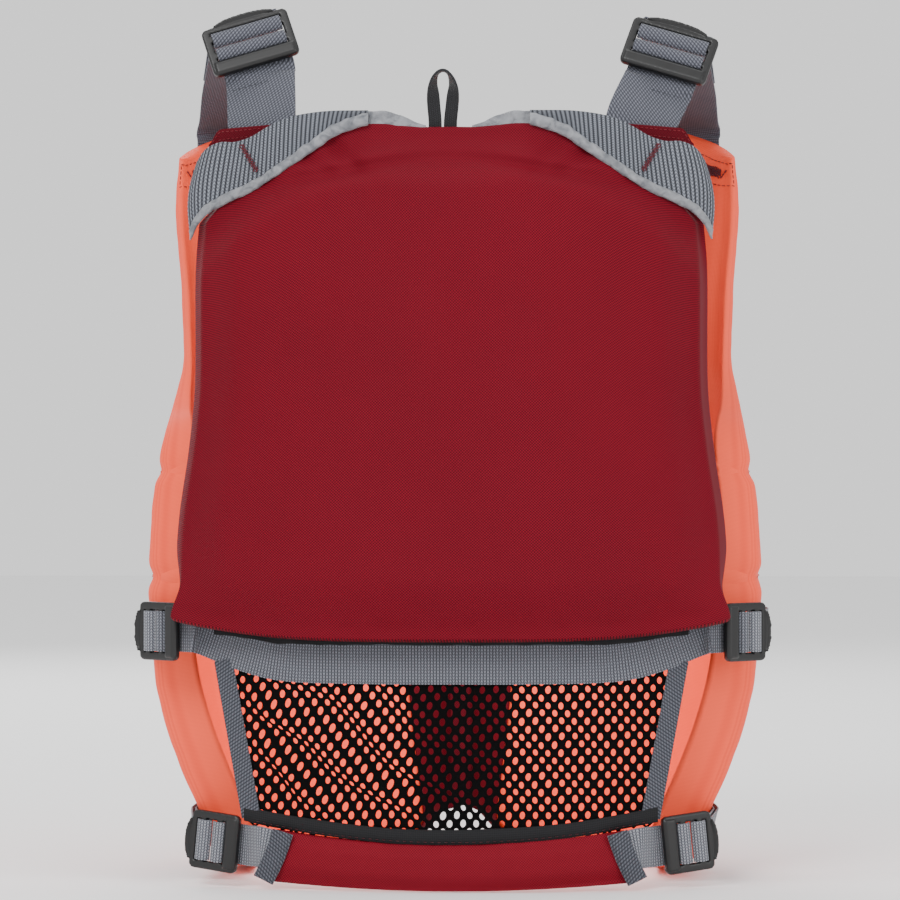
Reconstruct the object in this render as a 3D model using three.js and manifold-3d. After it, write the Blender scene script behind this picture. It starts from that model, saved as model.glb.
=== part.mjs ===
// A paddler's foam life jacket, zipped up and standing in the shape that it has when worn.
// Millimetres, +Z up, -Y is the wearer's front and +X the wearer's left. The hem stands on Z = 0.
import * as THREE from "three";
import { mergeVertices } from "three/addons/utils/BufferGeometryUtils.js";
import Module from "manifold-3d";

const wasm = await Module();
wasm.setup();

// ---- Driving dimensions ----
const gap = 0.3; // between any two pieces that touch
const fabric = 1.2; // shell cloth, drawn as thick as a solid wall needs

const jacket = {
  halfWidth: 194, // outside of the front panels at the waist
  frontDepth: 139, // outside of the front, from the middle of the body
  backDepth: 107, // inside of the back, from the middle of the body
  backRadius: 399, // how round the back is
  squareness: 0.77, // 1 is an ellipse, less is boxier
};

// Share of the half width at each height: narrow hem, full waist, slim chest
const sideProfile = [[0, 0.765], [45, 0.84], [95, 0.93], [140, 0.98], [190, 1], [245, 0.98],
  [300, 0.935], [360, 0.925], [430, 0.945], [500, 0.93]];
// Share of the front depth: upright along the zip, leaning back to the shoulder
const frontProfile = [[0, 1], [330, 1], [365, 0.975], [420, 0.84], [500, 0.66]];

const front = {
  thickness: 34, // foam, cover and lining together
  edgeThickness: 13,
  zipEdge: 8, // cover's edge from the centre line
  notchHeight: 34, // the cut-away below the zip
  notchHalfWidth: 42,
  neckBottom: 330,
  neckHalfWidth: 113,
  shoulderHeight: 487, // at the neck side
  shoulderDrop: 30, // lower at the arm side
  sideAngle: 97, // how far the waist reaches round, degrees from the centre front
  armholeAngle: 79,
  armholeBottom: 262,
  armholeTop: 330,
  foldHeights: [191, 261], // sewn fold lines between the foam pieces
  foldGap: 5,
};

const back = {
  thickness: 29,
  edgeThickness: 17,
  standOff: 5, // of the panel from the mesh behind it
  earLift: 8, // its lower corners stand away from the waist belt
  halfWidths: [[150, 167], [172, 166], [190, 164.5], [229, 161.5], [269, 155.5], [309, 151.5], [381, 151],
    [420, 148], [470, 146]],
  bottom: 153,
  bottomRise: 12, // the lower edge climbs towards its ends
  top: 462,
  shoulderDrop: 58,
  topTaper: 40, // length over which the foam thins to the neck
  topThickness: 9,
};

const webbing = { thickness: 1.2, shoulderWidth: 44, sideWidth: 25, bindingWidth: 12.5 };

const adjuster = {
  thickness: 3.2,
  rail: 4, // each side of the webbing
  railClearance: 1,
  nearBar: [-14.75, -6.2], // start and end along the strap
  fixedBar: [-3.4, -0.2], // the sewn loop goes round it, and the buckle tilts on it
  slidingBar: [8.15, 11.35],
  farBar: [14.5, 17],
  nearBarThickness: 5.4,
  tabReach: 4.5,
  tabLift: 2.6,
  loopRadius: 3.2, // centre line of the webbing round a bar
  strapDepth: 5, // of the sewn strap under the frame
  loadDepth: 6.8, // of the pulled strap under the frame
  tailDepth: 4.7,
};

const shoulder = {
  adjusterPlaces: { left: [124, 72, 520], right: [134, 72, 514] }, // the straps are pulled up unevenly
  adjusterFacing: [0, 0.93, 0.37],
  adjusterUp: [0.29, 0, 0.957],
  frontFoot: [150, 466], // x and height where the front strap is sewn
  backFoot: [116, 462],
  footLean: -0.34, // the front strap's way up lies this far behind its sewn foot
  footClearance: 0.8,
};

const waist = { height: 157, drop: 18, adjusterFromSide: 12, adjusterDepth: 70, facing: 42 };
const hem = { height: 28, adjusterFromSide: 13, adjusterDepth: 82, facing: 24, rise: 6 };

const mesh = { thickness: 0.8, top: 172, bottom: 36, topHalfWidth: 147, bottomHalfWidth: 122 };
const band = { height: 9, middle: 33.5, rise: 12.5, halfWidth: 127, thickness: 1.6 };
const hemPanel = { topHalfWidth: 100, bottomHalfWidth: 113, thickness: 4, bottomRise: 5.7 };

const zip = {
  bottom: 38,
  top: 330,
  tapeWidth: 5.5,
  toothPitch: 7,
  toothHeight: 3.1,
  toothReach: 1.3, // past the centre line, between the other side's teeth
  spineWidth: 1.2,
  teethThickness: 3,
  depth: 137, // middle of the chain, from the middle of the body
  sliderHeight: 16,
  sliderWidth: 11,
  pullLength: 28,
};

const pocket = {
  bottom: 52, top: 168, startAngle: 26, endAngle: 66, thickness: 9, edge: 2.5,
  zipAngle: 21.5, zipLength: 96, chainWidth: 4.5, chainThickness: 1.4, pullLength: 20,
};

const hangLoop = { height: 35, width: 21, strip: 8, thickness: 1.8, foot: 462.5 };

// Edges of the yoke's webbing and of its satin hem, from the neck out to the arm hole, as x and height
const yoke = {
  topEdge: [[52, 473], [74, 473.5], [96, 472], [117, 466], [136, 452], [155, 440]],
  seam: [[53, 470], [67, 465], [83, 458], [101, 446], [126, 428], [158, 409]],
  hem: [[52, 465], [65, 460.5], [80, 453], [98, 440.5], [123, 422.5], [161, 398]],
  thickness: 1.2, hemThickness: 1.8, aboveCover: 1.6,
};

// ---- Small helpers ----
const clamp = THREE.MathUtils.clamp;
const lerp = THREE.MathUtils.lerp;
const radians = THREE.MathUtils.degToRad;
const smooth = (value, low, high) => THREE.MathUtils.smoothstep(value, low, high);
const vector = (x, y, z) => new THREE.Vector3(x, y, z);

// Reads a table of [position, value] rows with smooth curves between them
function readTable(rows, at) {
  const x = clamp(at, rows[0][0], rows[rows.length - 1][0]);
  const i = clamp(rows.findIndex((row) => row[0] >= x) - 1, 0, rows.length - 2);
  const [x0, y0] = rows[i];
  const [x1, y1] = rows[i + 1];
  const slope = (a, b) => (b && a ? (b[1] - a[1]) / (b[0] - a[0]) : 0);
  const startSlope = i > 0 ? slope(rows[i - 1], rows[i + 1]) : slope(rows[i], rows[i + 1]);
  const endSlope = i < rows.length - 2 ? slope(rows[i], rows[i + 2]) : slope(rows[i], rows[i + 1]);
  const t = (x - x0) / (x1 - x0);
  const span = x1 - x0;
  return (2 * t ** 3 - 3 * t ** 2 + 1) * y0 + (t ** 3 - 2 * t ** 2 + t) * span * startSlope
    + (3 * t ** 2 - 2 * t ** 3) * y1 + (t ** 3 - t ** 2) * span * endSlope;
}

// A block with its grid corners (u, v, depth), each 0 to 1, at place(u, v, depth)
function bentBlock(columns, rows, place) {
  const points = [];
  for (const depth of [0, 1])
    for (let row = 0; row <= rows; row++)
      for (let column = 0; column <= columns; column++) points.push(place(column / columns, row / rows, depth));
  const layer = (columns + 1) * (rows + 1);
  const at = (column, row, depth) => depth * layer + row * (columns + 1) + column;
  const index = [];
  for (let row = 0; row < rows; row++) {
    for (let column = 0; column < columns; column++) {
      const [a, b, c, d] = [at(column, row, 0), at(column + 1, row, 0), at(column + 1, row + 1, 0), at(column, row + 1, 0)];
      index.push(a, c, b, a, d, c);
      index.push(a + layer, b + layer, c + layer, a + layer, c + layer, d + layer);
    }
  }
  const wall = (a, b) => index.push(a, b, b + layer, a, b + layer, a + layer);
  for (let column = 0; column < columns; column++) {
    wall(at(column, 0, 0), at(column + 1, 0, 0));
    wall(at(column + 1, rows, 0), at(column, rows, 0));
  }
  for (let row = 0; row < rows; row++) {
    wall(at(0, row + 1, 0), at(0, row, 0));
    wall(at(columns, row, 0), at(columns, row + 1, 0));
  }
  return closed(new THREE.BufferGeometry().setFromPoints(points).setIndex(index));
}

// The geometry with shared vertices merged and its faces pointing out
function closed(geometry) {
  const bare = geometry.clone();
  bare.deleteAttribute("normal");
  bare.deleteAttribute("uv");
  const merged = mergeVertices(bare, 1e-3);
  const index = merged.index.array;
  const point = (i) => new THREE.Vector3().fromBufferAttribute(merged.getAttribute("position"), index[i]);
  let volume = 0;
  for (let i = 0; i < index.length; i += 3) volume += point(i).dot(point(i + 1).cross(point(i + 2)));
  if (volume < 0) for (let i = 0; i < index.length; i += 3) [index[i + 1], index[i + 2]] = [index[i + 2], index[i + 1]];
  return merged;
}

function solidOf(geometry) {
  const bare = closed(geometry);
  const vertProperties = bare.getAttribute("position").array;
  return new wasm.Manifold(new wasm.Mesh({ numProp: 3, vertProperties, triVerts: new Uint32Array(bare.index.array) }));
}

function geometryOf(solid) {
  const made = solid.getMesh();
  const geometry = new THREE.BufferGeometry();
  geometry.setAttribute("position", new THREE.BufferAttribute(made.vertProperties, 3));
  geometry.setIndex(new THREE.BufferAttribute(made.triVerts, 1));
  return geometry;
}

const join = (first, ...others) => geometryOf(others.reduce((sum, g) => sum.add(solidOf(g)), solidOf(first)));
const cut = (first, ...others) => geometryOf(others.reduce((rest, g) => rest.subtract(solidOf(g)), solidOf(first)));
const keepBetween = (geometry, low, high) =>
  geometryOf(solidOf(geometry).intersect(solidOf(box([-400, -400, low], [400, 400, high]))));

function box(low, high) {
  const size = high.map((value, i) => value - low[i]);
  return new THREE.BoxGeometry(...size).translate(low[0] + size[0] / 2, low[1] + size[1] / 2, low[2] + size[2] / 2);
}

// A flat strip of webbing through stations of [point, direction across it]
function ribbon(stations, width, thickness, stepsBetween = 2) {
  const line = new THREE.CatmullRomCurve3(stations.map(([point]) => point), false, "centripetal");
  const steps = (stations.length - 1) * stepsBetween;
  const acrossAt = (share) => {
    const at = share * (stations.length - 1);
    const i = Math.min(Math.floor(at), stations.length - 2);
    return stations[i][1].clone().lerp(stations[i + 1][1], at - i).normalize();
  };
  return bentBlock(1, steps, (side, share, depth) => {
    const tangent = line.getTangent(share);
    const across = acrossAt(share);
    across.addScaledVector(tangent, -across.dot(tangent)).normalize();
    const through = tangent.clone().cross(across);
    return line.getPoint(share).addScaledVector(across, (side - 0.5) * width)
      .addScaledVector(through, (depth - 0.5) * thickness);
  });
}

// ---- The body's outline ----
const halfWidthAt = (z) => jacket.halfWidth * readTable(sideProfile, z);
const frontDepthAt = (z) => jacket.frontDepth * readTable(frontProfile, z);
const spread = (value) => Math.sign(value) * Math.abs(value) ** jacket.squareness;

// A point on the outside at an angle from the centre front, moved inwards by inset
function outline(angle, z, inset = 0) {
  const a = radians(angle);
  return vector((halfWidthAt(z) - inset) * spread(Math.sin(a)), -(frontDepthAt(z) - inset) * spread(Math.cos(a)), z);
}

// The angle at which the outside has this x
function angleAt(x, z) {
  return THREE.MathUtils.radToDeg(Math.asin(clamp(x / halfWidthAt(z), 0, 1) ** (1 / jacket.squareness)));
}

// The back's inner surface, moved outwards by offset
function backPoint(x, z, offset = 0) {
  return vector(x, jacket.backDepth - (jacket.backRadius - Math.sqrt(jacket.backRadius ** 2 - x * x)) + offset, z);
}

// ---- Front panels ----
function frontInnerX(z) {
  if (z < front.notchHeight) return lerp(front.notchHalfWidth, front.zipEdge, z / front.notchHeight);
  if (z < front.neckBottom) return front.zipEdge;
  const fall = clamp((front.shoulderHeight - z) / (front.shoulderHeight - front.neckBottom), 0, 1);
  return Math.max(front.zipEdge, front.neckHalfWidth * Math.sqrt(1 - fall * fall));
}

function frontPoint(u, v, inset, shrink) {
  const top = front.shoulderHeight - front.shoulderDrop * u;
  const z = lerp(shrink, top - shrink, v);
  const room = halfWidthAt(z) * 1.5;
  const inner = angleAt(frontInnerX(z), z) + (shrink / room) * 90;
  const armhole = smooth(z, front.armholeBottom, front.armholeTop);
  const outer = lerp(front.sideAngle, front.armholeAngle, armhole) - (shrink / room) * 90;
  return outline(lerp(inner, outer, u), z, inset);
}

function frontThicknessAt(u, v) {
  const acrossEdge = smooth(u, 0, 0.16) * smooth(1 - u, 0, 0.3);
  const upEdge = smooth(v, 0, 0.1) * smooth(1 - v, 0, 0.22);
  return lerp(front.edgeThickness, front.thickness, acrossEdge * upEdge);
}

// Part of the front between two depths, each a function of the full thickness there
function frontBlock(from, to, shrink) {
  return bentBlock(8, 14, (u, v, depth) => {
    const full = frontThicknessAt(u, v);
    return frontPoint(u, v, depth < 0.5 ? from(full) : to(full), shrink);
  });
}

function frontPanel() {
  const inside = fabric + gap;
  const rim = fabric * 1.6; // the cover's edge, and then a little room inside it
  const cover = cut(frontBlock(() => 0, (full) => full, 0), frontBlock(() => fabric, (full) => full + 6, rim));
  const foam = frontBlock(() => inside + 2 * gap, (full) => full - inside, rim + 2.4);
  const slice = (low, high) => keepBetween(foam, low, high);
  const [waistFold, chestFold] = front.foldHeights;
  const half = front.foldGap / 2;
  return {
    front_cover: [cover, "coral"],
    front_lining: [frontBlock((full) => full - fabric, (full) => full, rim + 2.4), "coralLining"],
    front_waist_foam: [slice(0, waistFold - half), "foam"],
    front_belt_foam: [slice(waistFold + half, chestFold - half), "foam"],
    front_chest_foam: [slice(chestFold + half, 600), "foam"],
  };
}

// ---- Back panel ----
const backTopAt = (side) => back.top - back.shoulderDrop * Math.abs(side) ** 3;
const backBottomAt = (side) => back.bottom + back.bottomRise * Math.abs(side) ** 4;

// side runs from -1 to 1 across the back, v from the lower edge to the neck
function backPanelPoint(side, v, offset, shrink = 0) {
  const z = lerp(backBottomAt(side) + shrink, backTopAt(side) - shrink, v);
  const half = readTable(back.halfWidths, z) - shrink;
  const ear = smooth(Math.abs(side), 0.72, 1) * (1 - smooth(v, 0, 0.2));
  return backPoint(side * half, z, offset + back.earLift * ear);
}

function backThicknessAt(side, v) {
  const acrossEdge = smooth(1 - Math.abs(side), 0, 0.2);
  const full = lerp(back.edgeThickness, back.thickness, acrossEdge * smooth(v, 0, 0.12));
  const fromTop = (1 - v) * (backTopAt(side) - backBottomAt(side));
  return lerp(back.topThickness, full, smooth(fromTop, 4, back.topTaper));
}

function backBlock(from, to, shrink) {
  return bentBlock(14, 12, (u, share, depth) => {
    // Rows and columns are closer together near the edges, where the panel curves most
    const side = -Math.cos(Math.PI * u);
    const v = 0.5 - 0.5 * Math.cos(Math.PI * share);
    const full = backThicknessAt(side, v);
    return backPanelPoint(side, v, back.standOff + (depth < 0.5 ? from(full) : to(full)), shrink);
  });
}

function backPanel() {
  const inside = fabric + gap;
  return {
    back_cover: [
      cut(backBlock(() => 0, (full) => full, 0), backBlock(() => -6, (full) => full - fabric, fabric * 1.2)),
      "maroon",
    ],
    back_lining: [backBlock(() => 0, () => fabric, inside + 0.6), "liningMesh"],
    back_foam: [backBlock(() => inside, (full) => full - inside, inside + 0.6), "foam"],
  };
}

// ---- Strap adjusters: a frame with four bars ----
function roundedRectangle(left, bottom, right, top, radius) {
  const shape = new THREE.Shape();
  shape.moveTo(left + radius, bottom);
  shape.lineTo(right - radius, bottom).absarc(right - radius, bottom + radius, radius, -Math.PI / 2, 0);
  shape.lineTo(right, top - radius).absarc(right - radius, top - radius, radius, 0, Math.PI / 2);
  shape.lineTo(left + radius, top).absarc(left + radius, top - radius, radius, Math.PI / 2, Math.PI);
  shape.lineTo(left, bottom + radius).absarc(left + radius, bottom + radius, radius, Math.PI, Math.PI * 1.5);
  return shape;
}

function adjusterFrame(width) {
  const { nearBar, fixedBar, slidingBar, farBar, thickness } = adjuster;
  const slotHalf = width / 2 + adjuster.railClearance;
  const half = slotHalf + adjuster.rail;
  const outer = roundedRectangle(-half, nearBar[0], half, farBar[1], 3);
  for (const [low, high] of [[nearBar[1], fixedBar[0]], [fixedBar[1], slidingBar[0]], [slidingBar[1], farBar[0]]])
    outer.holes.push(new THREE.Path(roundedRectangle(-slotHalf, low, slotHalf, high, 0.4).getPoints(1)));
  const plate = new THREE.ExtrudeGeometry(outer, { depth: thickness, bevelEnabled: false, curveSegments: 3 })
    .translate(0, 0, -thickness / 2);
  const grip = new THREE.ExtrudeGeometry(
    roundedRectangle(nearBar[0] + 0.4, -adjuster.nearBarThickness / 2, nearBar[1] - 0.4, adjuster.nearBarThickness / 2, 1.6),
    { depth: half * 2 - 4, bevelEnabled: false, curveSegments: 2 },
  ).rotateX(Math.PI / 2).rotateZ(Math.PI / 2).translate(-half + 2, 0, 0);
  // The lift tab is an arc that rises as it leaves the frame
  const tab = bentBlock(6, 2, (u, v, depth) => {
    const side = u * 2 - 1;
    const reach = adjuster.tabReach * v * Math.sqrt(Math.max(0, 1 - (side * 0.92) ** 2));
    const lift = adjuster.tabLift * v * v;
    return vector(side * half * 0.7, farBar[1] - 1.2 + reach + 0.2 * v, lerp(0.9, -1.3, depth) + lift);
  });
  return join(plate, grip, tab);
}

// Where a buckle sits: its local X runs across the strap, Y along it to the tab, Z out of the jacket
function seat(place, facing, along) {
  const out = vector(...facing).normalize();
  const up = vector(...along);
  up.addScaledVector(out, -up.dot(out)).normalize();
  const matrix = new THREE.Matrix4().makeBasis(up.clone().cross(out), up, out).setPosition(...place);
  return {
    matrix,
    across: vector(1, 0, 0).transformDirection(matrix),
    at: (y, z) => vector(0, y, z).applyMatrix4(matrix),
  };
}

const barMiddle = ([low, high]) => (low + high) / 2;

// Stations round a bar, from one side over the top to the other
function overBar(place, bar, from, to, steps = 4) {
  return Array.from({ length: steps + 1 }, (_, i) => {
    const a = radians(lerp(from, to, i / steps));
    const { loopRadius } = adjuster;
    return [place.at(barMiddle(bar) + loopRadius * Math.cos(a), loopRadius * Math.sin(a)), place.across];
  });
}

// The sewn end: under the near bar, up, over the fixed bar and down
const sewnLoop = (place) => [
  [place.at(adjuster.nearBar[0] - 4, -adjuster.strapDepth), place.across],
  [place.at(adjuster.nearBar[1] - 1.5, -adjuster.strapDepth), place.across],
  ...overBar(place, adjuster.fixedBar, 190, 0),
];

// The pulled end: under the frame, up, over the sliding bar, down, and out again as the tail
const pulledLoop = (place) => [
  [place.at(adjuster.farBar[1] + 6, -adjuster.loadDepth), place.across],
  [place.at(adjuster.slidingBar[1] - 1, -adjuster.loadDepth), place.across],
  ...overBar(place, adjuster.slidingBar, 195, 0),
  [place.at(adjuster.farBar[0] + 0.8, -adjuster.tailDepth), place.across],
  [place.at(adjuster.farBar[1] + 8, -adjuster.tailDepth), place.across],
];

const sideFacing = (angle) => [Math.sin(radians(angle)), Math.cos(radians(angle)), 0];
const sideAlong = (angle, rise) => [Math.cos(radians(angle)), -Math.sin(radians(angle)), Math.tan(radians(rise))];

const shoulderSeat = (side) => seat(shoulder.adjusterPlaces[side], shoulder.adjusterFacing, shoulder.adjusterUp);
const seats = {
  waist: seat([halfWidthAt(waist.height) - waist.adjusterFromSide, waist.adjusterDepth, waist.height],
    sideFacing(waist.facing), sideAlong(waist.facing, 0)),
  hem: seat([halfWidthAt(hem.height) - hem.adjusterFromSide, hem.adjusterDepth, hem.height],
    sideFacing(hem.facing), sideAlong(hem.facing, hem.rise)),
};

// ---- Straps ----
const upright = vector(0, 0, 1);

function sewnStraps(shoulderPlace) {
  const [footX, footZ] = shoulder.backFoot;
  const foot = backPoint(footX, footZ, 0.5);
  const leftward = backPoint(footX - 10, footZ).sub(backPoint(footX + 10, footZ));
  const shoulderStrap = ribbon([
    [foot.clone().add(vector(0, 0, -14)), leftward],
    [foot.clone().add(vector(0, -1, 6)), leftward],
    ...sewnLoop(shoulderPlace),
  ], webbing.shoulderWidth, webbing.thickness);
  return { shoulder_strap_back: [shoulderStrap, "webbing"] };
}

// A front strap runs from where it is sewn, through its adjuster, and back as a loose tail
function pulledStrap(place, run, tail, width) {
  return ribbon([...run, ...pulledLoop(place), ...tail], width, webbing.thickness);
}

// The way up the front panel's outside at an angle, for webbing that lies round it
const upPanel = (angle, z) => outline(angle, z + 12).sub(outline(angle, z - 12));
const overPanel = (angle, z, lift) => [outline(angle, z, -lift), upPanel(angle, z)];

function frontStraps(shoulderPlace) {
  const across = shoulderPlace.across;
  const [footX, footZ] = shoulder.frontFoot;
  const footAngle = angleAt(footX, footZ);
  const inward = outline(footAngle - 8, footZ).sub(outline(footAngle + 8, footZ));
  const foot = (z, lift) => outline(footAngle, z, -lift);
  const clear = webbing.thickness + shoulder.footClearance;
  const { x: adjusterX, y: adjusterY, z: adjusterZ } = shoulderPlace.at(0, 0);
  const footY = outline(footAngle, footZ).y + shoulder.footLean;
  const overShoulder = (share, lift) => vector(lerp(adjusterX, footX, share), lerp(adjusterY, footY, share),
    lerp(adjusterZ + 24, footZ + 12, share) + 14 * Math.sin(Math.PI * share) + lift);
  const shoulderStrap = pulledStrap(
    shoulderPlace,
    [[foot(footZ - 22, clear), inward], [foot(footZ, clear + 0.2), inward], [foot(footZ + 11, clear + 0.4), inward],
      [overShoulder(0.72, 0), inward],
      [overShoulder(0.3, 0), across]],
    [[overShoulder(0.3, 4), across], [overShoulder(0.72, 5), inward], [foot(footZ + 12, 8), inward],
      [foot(footZ, 7), inward]],
    webbing.shoulderWidth,
  );
  const sideStrap = (place, z) => pulledStrap(
    place,
    [overPanel(68, z, 1.6), overPanel(80, z, 1.6), overPanel(92, z, 1.8)],
    [overPanel(91, z, 4.6), overPanel(80, z, 4), overPanel(70, z, 3.8)],
    webbing.sideWidth,
  );
  return {
    shoulder_strap_front: [shoulderStrap, "webbingDark"],
    waist_strap_front: [sideStrap(seats.waist, waist.height), "webbing"],
    hem_strap_front: [sideStrap(seats.hem, hem.height + 3), "webbing"],
  };
}

// The belt across the back is one piece from adjuster to adjuster
function waistBelt() {
  const low = waist.height - waist.drop;
  const half = [...sewnLoop(seats.waist)].reverse();
  const route = [[152, waist.height - 2], [128, low + 7], [100, low + 1], [50, low], [0, low]];
  const left = [...half, ...route.map(([x, z]) => [backPoint(x, z, 2.2), upright])];
  const right = left.slice(0, -1).reverse().map(([p, across]) => [vector(-p.x, p.y, p.z), across]);
  return ribbon([...left, ...right], webbing.sideWidth, webbing.thickness);
}

const bandMiddleAt = (x) => band.middle + band.rise * (x / band.halfWidth) ** 2;

function hemStrap() {
  const start = backPoint((hemPanel.topHalfWidth + hemPanel.bottomHalfWidth) / 2 - 4, hem.height - 8, 6.4);
  return ribbon([
    [start, upright],
    [backPoint(116, hem.height - 5, 5.8), upright],
    ...sewnLoop(seats.hem),
  ], webbing.sideWidth, webbing.thickness);
}

// ---- Lower back: mesh, its webbing edges, black band and hem ----
function meshPanel() {
  return bentBlock(10, 4, (u, v, depth) => {
    const side = u * 2 - 1;
    const bottom = bandMiddleAt(side * mesh.bottomHalfWidth) - band.height / 2 + 1;
    const x = side * lerp(mesh.bottomHalfWidth, mesh.topHalfWidth, v);
    return backPoint(x, lerp(bottom, mesh.top, v), depth * mesh.thickness);
  });
}

function meshEdge() {
  const lift = mesh.thickness + gap + webbing.thickness / 2;
  const heights = [54, 70, 98, 124];
  const stations = heights.map((z) => {
    const v = clamp((z - mesh.bottom) / (mesh.top - mesh.bottom), 0, 1);
    const x = lerp(mesh.bottomHalfWidth, mesh.topHalfWidth, v) - 1;
    return [backPoint(x, z, lift), vector(1, -0.33, 0)];
  });
  return ribbon(stations, webbing.bindingWidth, webbing.thickness * 0.7);
}

function lowerBand() {
  const low = mesh.thickness + gap;
  return bentBlock(12, 1, (u, v, depth) => {
    const x = (u * 2 - 1) * band.halfWidth;
    return backPoint(x, bandMiddleAt(x) + (v - 0.5) * band.height, low + depth * band.thickness);
  });
}

function hemFacing() {
  return bentBlock(10, 2, (u, v, depth) => {
    const side = u * 2 - 1;
    const x = side * lerp(hemPanel.bottomHalfWidth, hemPanel.topHalfWidth, v);
    const bottom = hemPanel.bottomRise * side * side;
    const top = bandMiddleAt(x) - band.height / 2 - gap;
    return backPoint(x, lerp(bottom, top, v), mesh.thickness + depth * hemPanel.thickness);
  });
}

// ---- Neck and shoulder blades ----
// A point over the back cover, or level with its top edge beyond it
function overCover(x, z, lift) {
  const side = clamp(x / readTable(back.halfWidths, z), -1, 1);
  const v = clamp((z - backBottomAt(side)) / (backTopAt(side) - backBottomAt(side)), 0, 1);
  return backPoint(x, z, back.standOff + backThicknessAt(side, v) + lift);
}

// A strip that lies over the panel's top corner, between two of the yoke's edges
function yokeStrip(lowEdge, highEdge, thickness, highShare = 1) {
  const [low, high] = [lowEdge, highEdge].map((edge) =>
    new THREE.CatmullRomCurve3(edge.map(([x, z]) => vector(x, 0, z))));
  return bentBlock(4, 12, (u, v, depth) => {
    const p = low.getPoint(v).lerp(high.getPoint(v), u * highShare);
    return overCover(p.x, p.z, yoke.aboveCover + depth * thickness);
  });
}

function shoulderTab() {
  return bentBlock(4, 2, (u, v, depth) => {
    const x = lerp(98, 147, u);
    const z = lerp(453 - 8 * u, 468 - 3 * u, v);
    return backPoint(x, z, 6.5 + depth * 1.4 - 1.5 * v);
  });
}

function loopShape() {
  const { width, height, strip } = hangLoop;
  const outer = new THREE.Shape();
  const footHalf = strip + 0.6;
  outer.moveTo(-footHalf, 0);
  outer.lineTo(footHalf, 0);
  outer.bezierCurveTo(footHalf + 1, height * 0.35, width / 2, height * 0.5, width / 2, height * 0.68);
  outer.bezierCurveTo(width / 2, height * 0.86, 4, height, 0, height);
  outer.bezierCurveTo(-4, height, -width / 2, height * 0.86, -width / 2, height * 0.68);
  outer.bezierCurveTo(-width / 2, height * 0.5, -footHalf - 1, height * 0.35, -footHalf, 0);
  const hole = new THREE.Path();
  const inner = width / 2 - strip * 0.72;
  hole.moveTo(0, height * 0.16);
  hole.lineTo(inner, height * 0.6);
  hole.quadraticCurveTo(inner, height * 0.85, 0, height * 0.87);
  hole.quadraticCurveTo(-inner, height * 0.85, -inner, height * 0.6);
  hole.lineTo(0, height * 0.16);
  outer.holes.push(hole);
  return outer;
}

// ---- Zips ----
// Half a chain: a spine with teeth that reach between the other half's teeth
function zipTeeth(offset) {
  const shape = new THREE.Shape();
  const { spineWidth, toothPitch, toothHeight, toothReach } = zip;
  const near = spineWidth + toothReach + gap;
  shape.moveTo(near + spineWidth, zip.bottom);
  shape.lineTo(near + spineWidth, zip.top);
  shape.lineTo(near, zip.top);
  const count = Math.floor((zip.top - zip.bottom - toothPitch) / toothPitch);
  for (let i = count - 1; i >= 0; i--) {
    const z = zip.bottom + 1 + offset + i * toothPitch;
    shape.lineTo(near, z + toothHeight);
    shape.lineTo(-toothReach, z + toothHeight);
    shape.lineTo(-toothReach, z);
    shape.lineTo(near, z);
  }
  shape.lineTo(near, zip.bottom);
  const made = new THREE.ExtrudeGeometry(shape, { depth: zip.teethThickness, bevelEnabled: false });
  return made.rotateX(Math.PI / 2).translate(0, zip.teethThickness / 2 - zip.depth, 0);
}

function zipTape() {
  const start = 2 * zip.spineWidth + zip.toothReach + 2 * gap;
  const end = front.zipEdge - gap;
  return box([start, -zip.depth - 0.5, zip.bottom], [end, -zip.depth + 0.5, zip.top + 2]);
}

const pinRadius = 0.8;
const plateThickness = 1.8;

// Slider's front plate with two ears and a cross pin for the pull, its face at y = 0, hinge at z = 0
function sliderFront(width, height) {
  const plate = roundedRectangle(-width / 2, -height + 5, width / 2, 5, 2.5);
  const body = new THREE.ExtrudeGeometry(plate, { depth: plateThickness, bevelEnabled: false, curveSegments: 2 })
    .rotateX(Math.PI / 2).translate(0, plateThickness, 0);
  const ears = [-1, 1].map((side) => box([side * 3.4 - 0.7, -3.4, -2], [side * 3.4 + 0.7, 0.4, 2]));
  const pin = new THREE.CylinderGeometry(pinRadius, pinRadius, 6.8, 8).rotateZ(Math.PI / 2).translate(0, -2.2, 0);
  return [body, ...ears, pin];
}

// The pull hangs from its eye at the origin
function zipPull(length, width = 4.6) {
  const eye = 2.1;
  const shape = new THREE.Shape();
  shape.absarc(0, 0, eye, radians(-50), radians(230));
  shape.lineTo(-0.9, -length);
  shape.lineTo(0.9, -length);
  const hole = new THREE.Path();
  hole.absarc(0, 0, pinRadius + 0.45, 0, Math.PI * 2, true);
  shape.holes.push(hole);
  const blade = new THREE.ExtrudeGeometry(shape, { depth: width, bevelEnabled: false, curveSegments: 8 });
  return blade.rotateX(Math.PI / 2).rotateZ(Math.PI / 2).translate(-width / 2, 0, 0);
}

const mainSliderPlace = vector(0, -zip.depth - zip.teethThickness / 2 - gap - plateThickness, zip.top - 1);

function mainSlider() {
  const backPlate = box([-zip.sliderWidth / 2, zip.teethThickness + 2 * gap + plateThickness, -zip.sliderHeight + 5],
    [zip.sliderWidth / 2, zip.teethThickness + 2 * gap + plateThickness * 1.8, 5]);
  const bridge = box([-1.5, plateThickness - 0.4, 2], [1.5, zip.teethThickness + 2 * gap + plateThickness + 0.6, 5]);
  return join(...sliderFront(zip.sliderWidth, zip.sliderHeight), backPlate, bridge);
}

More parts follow.
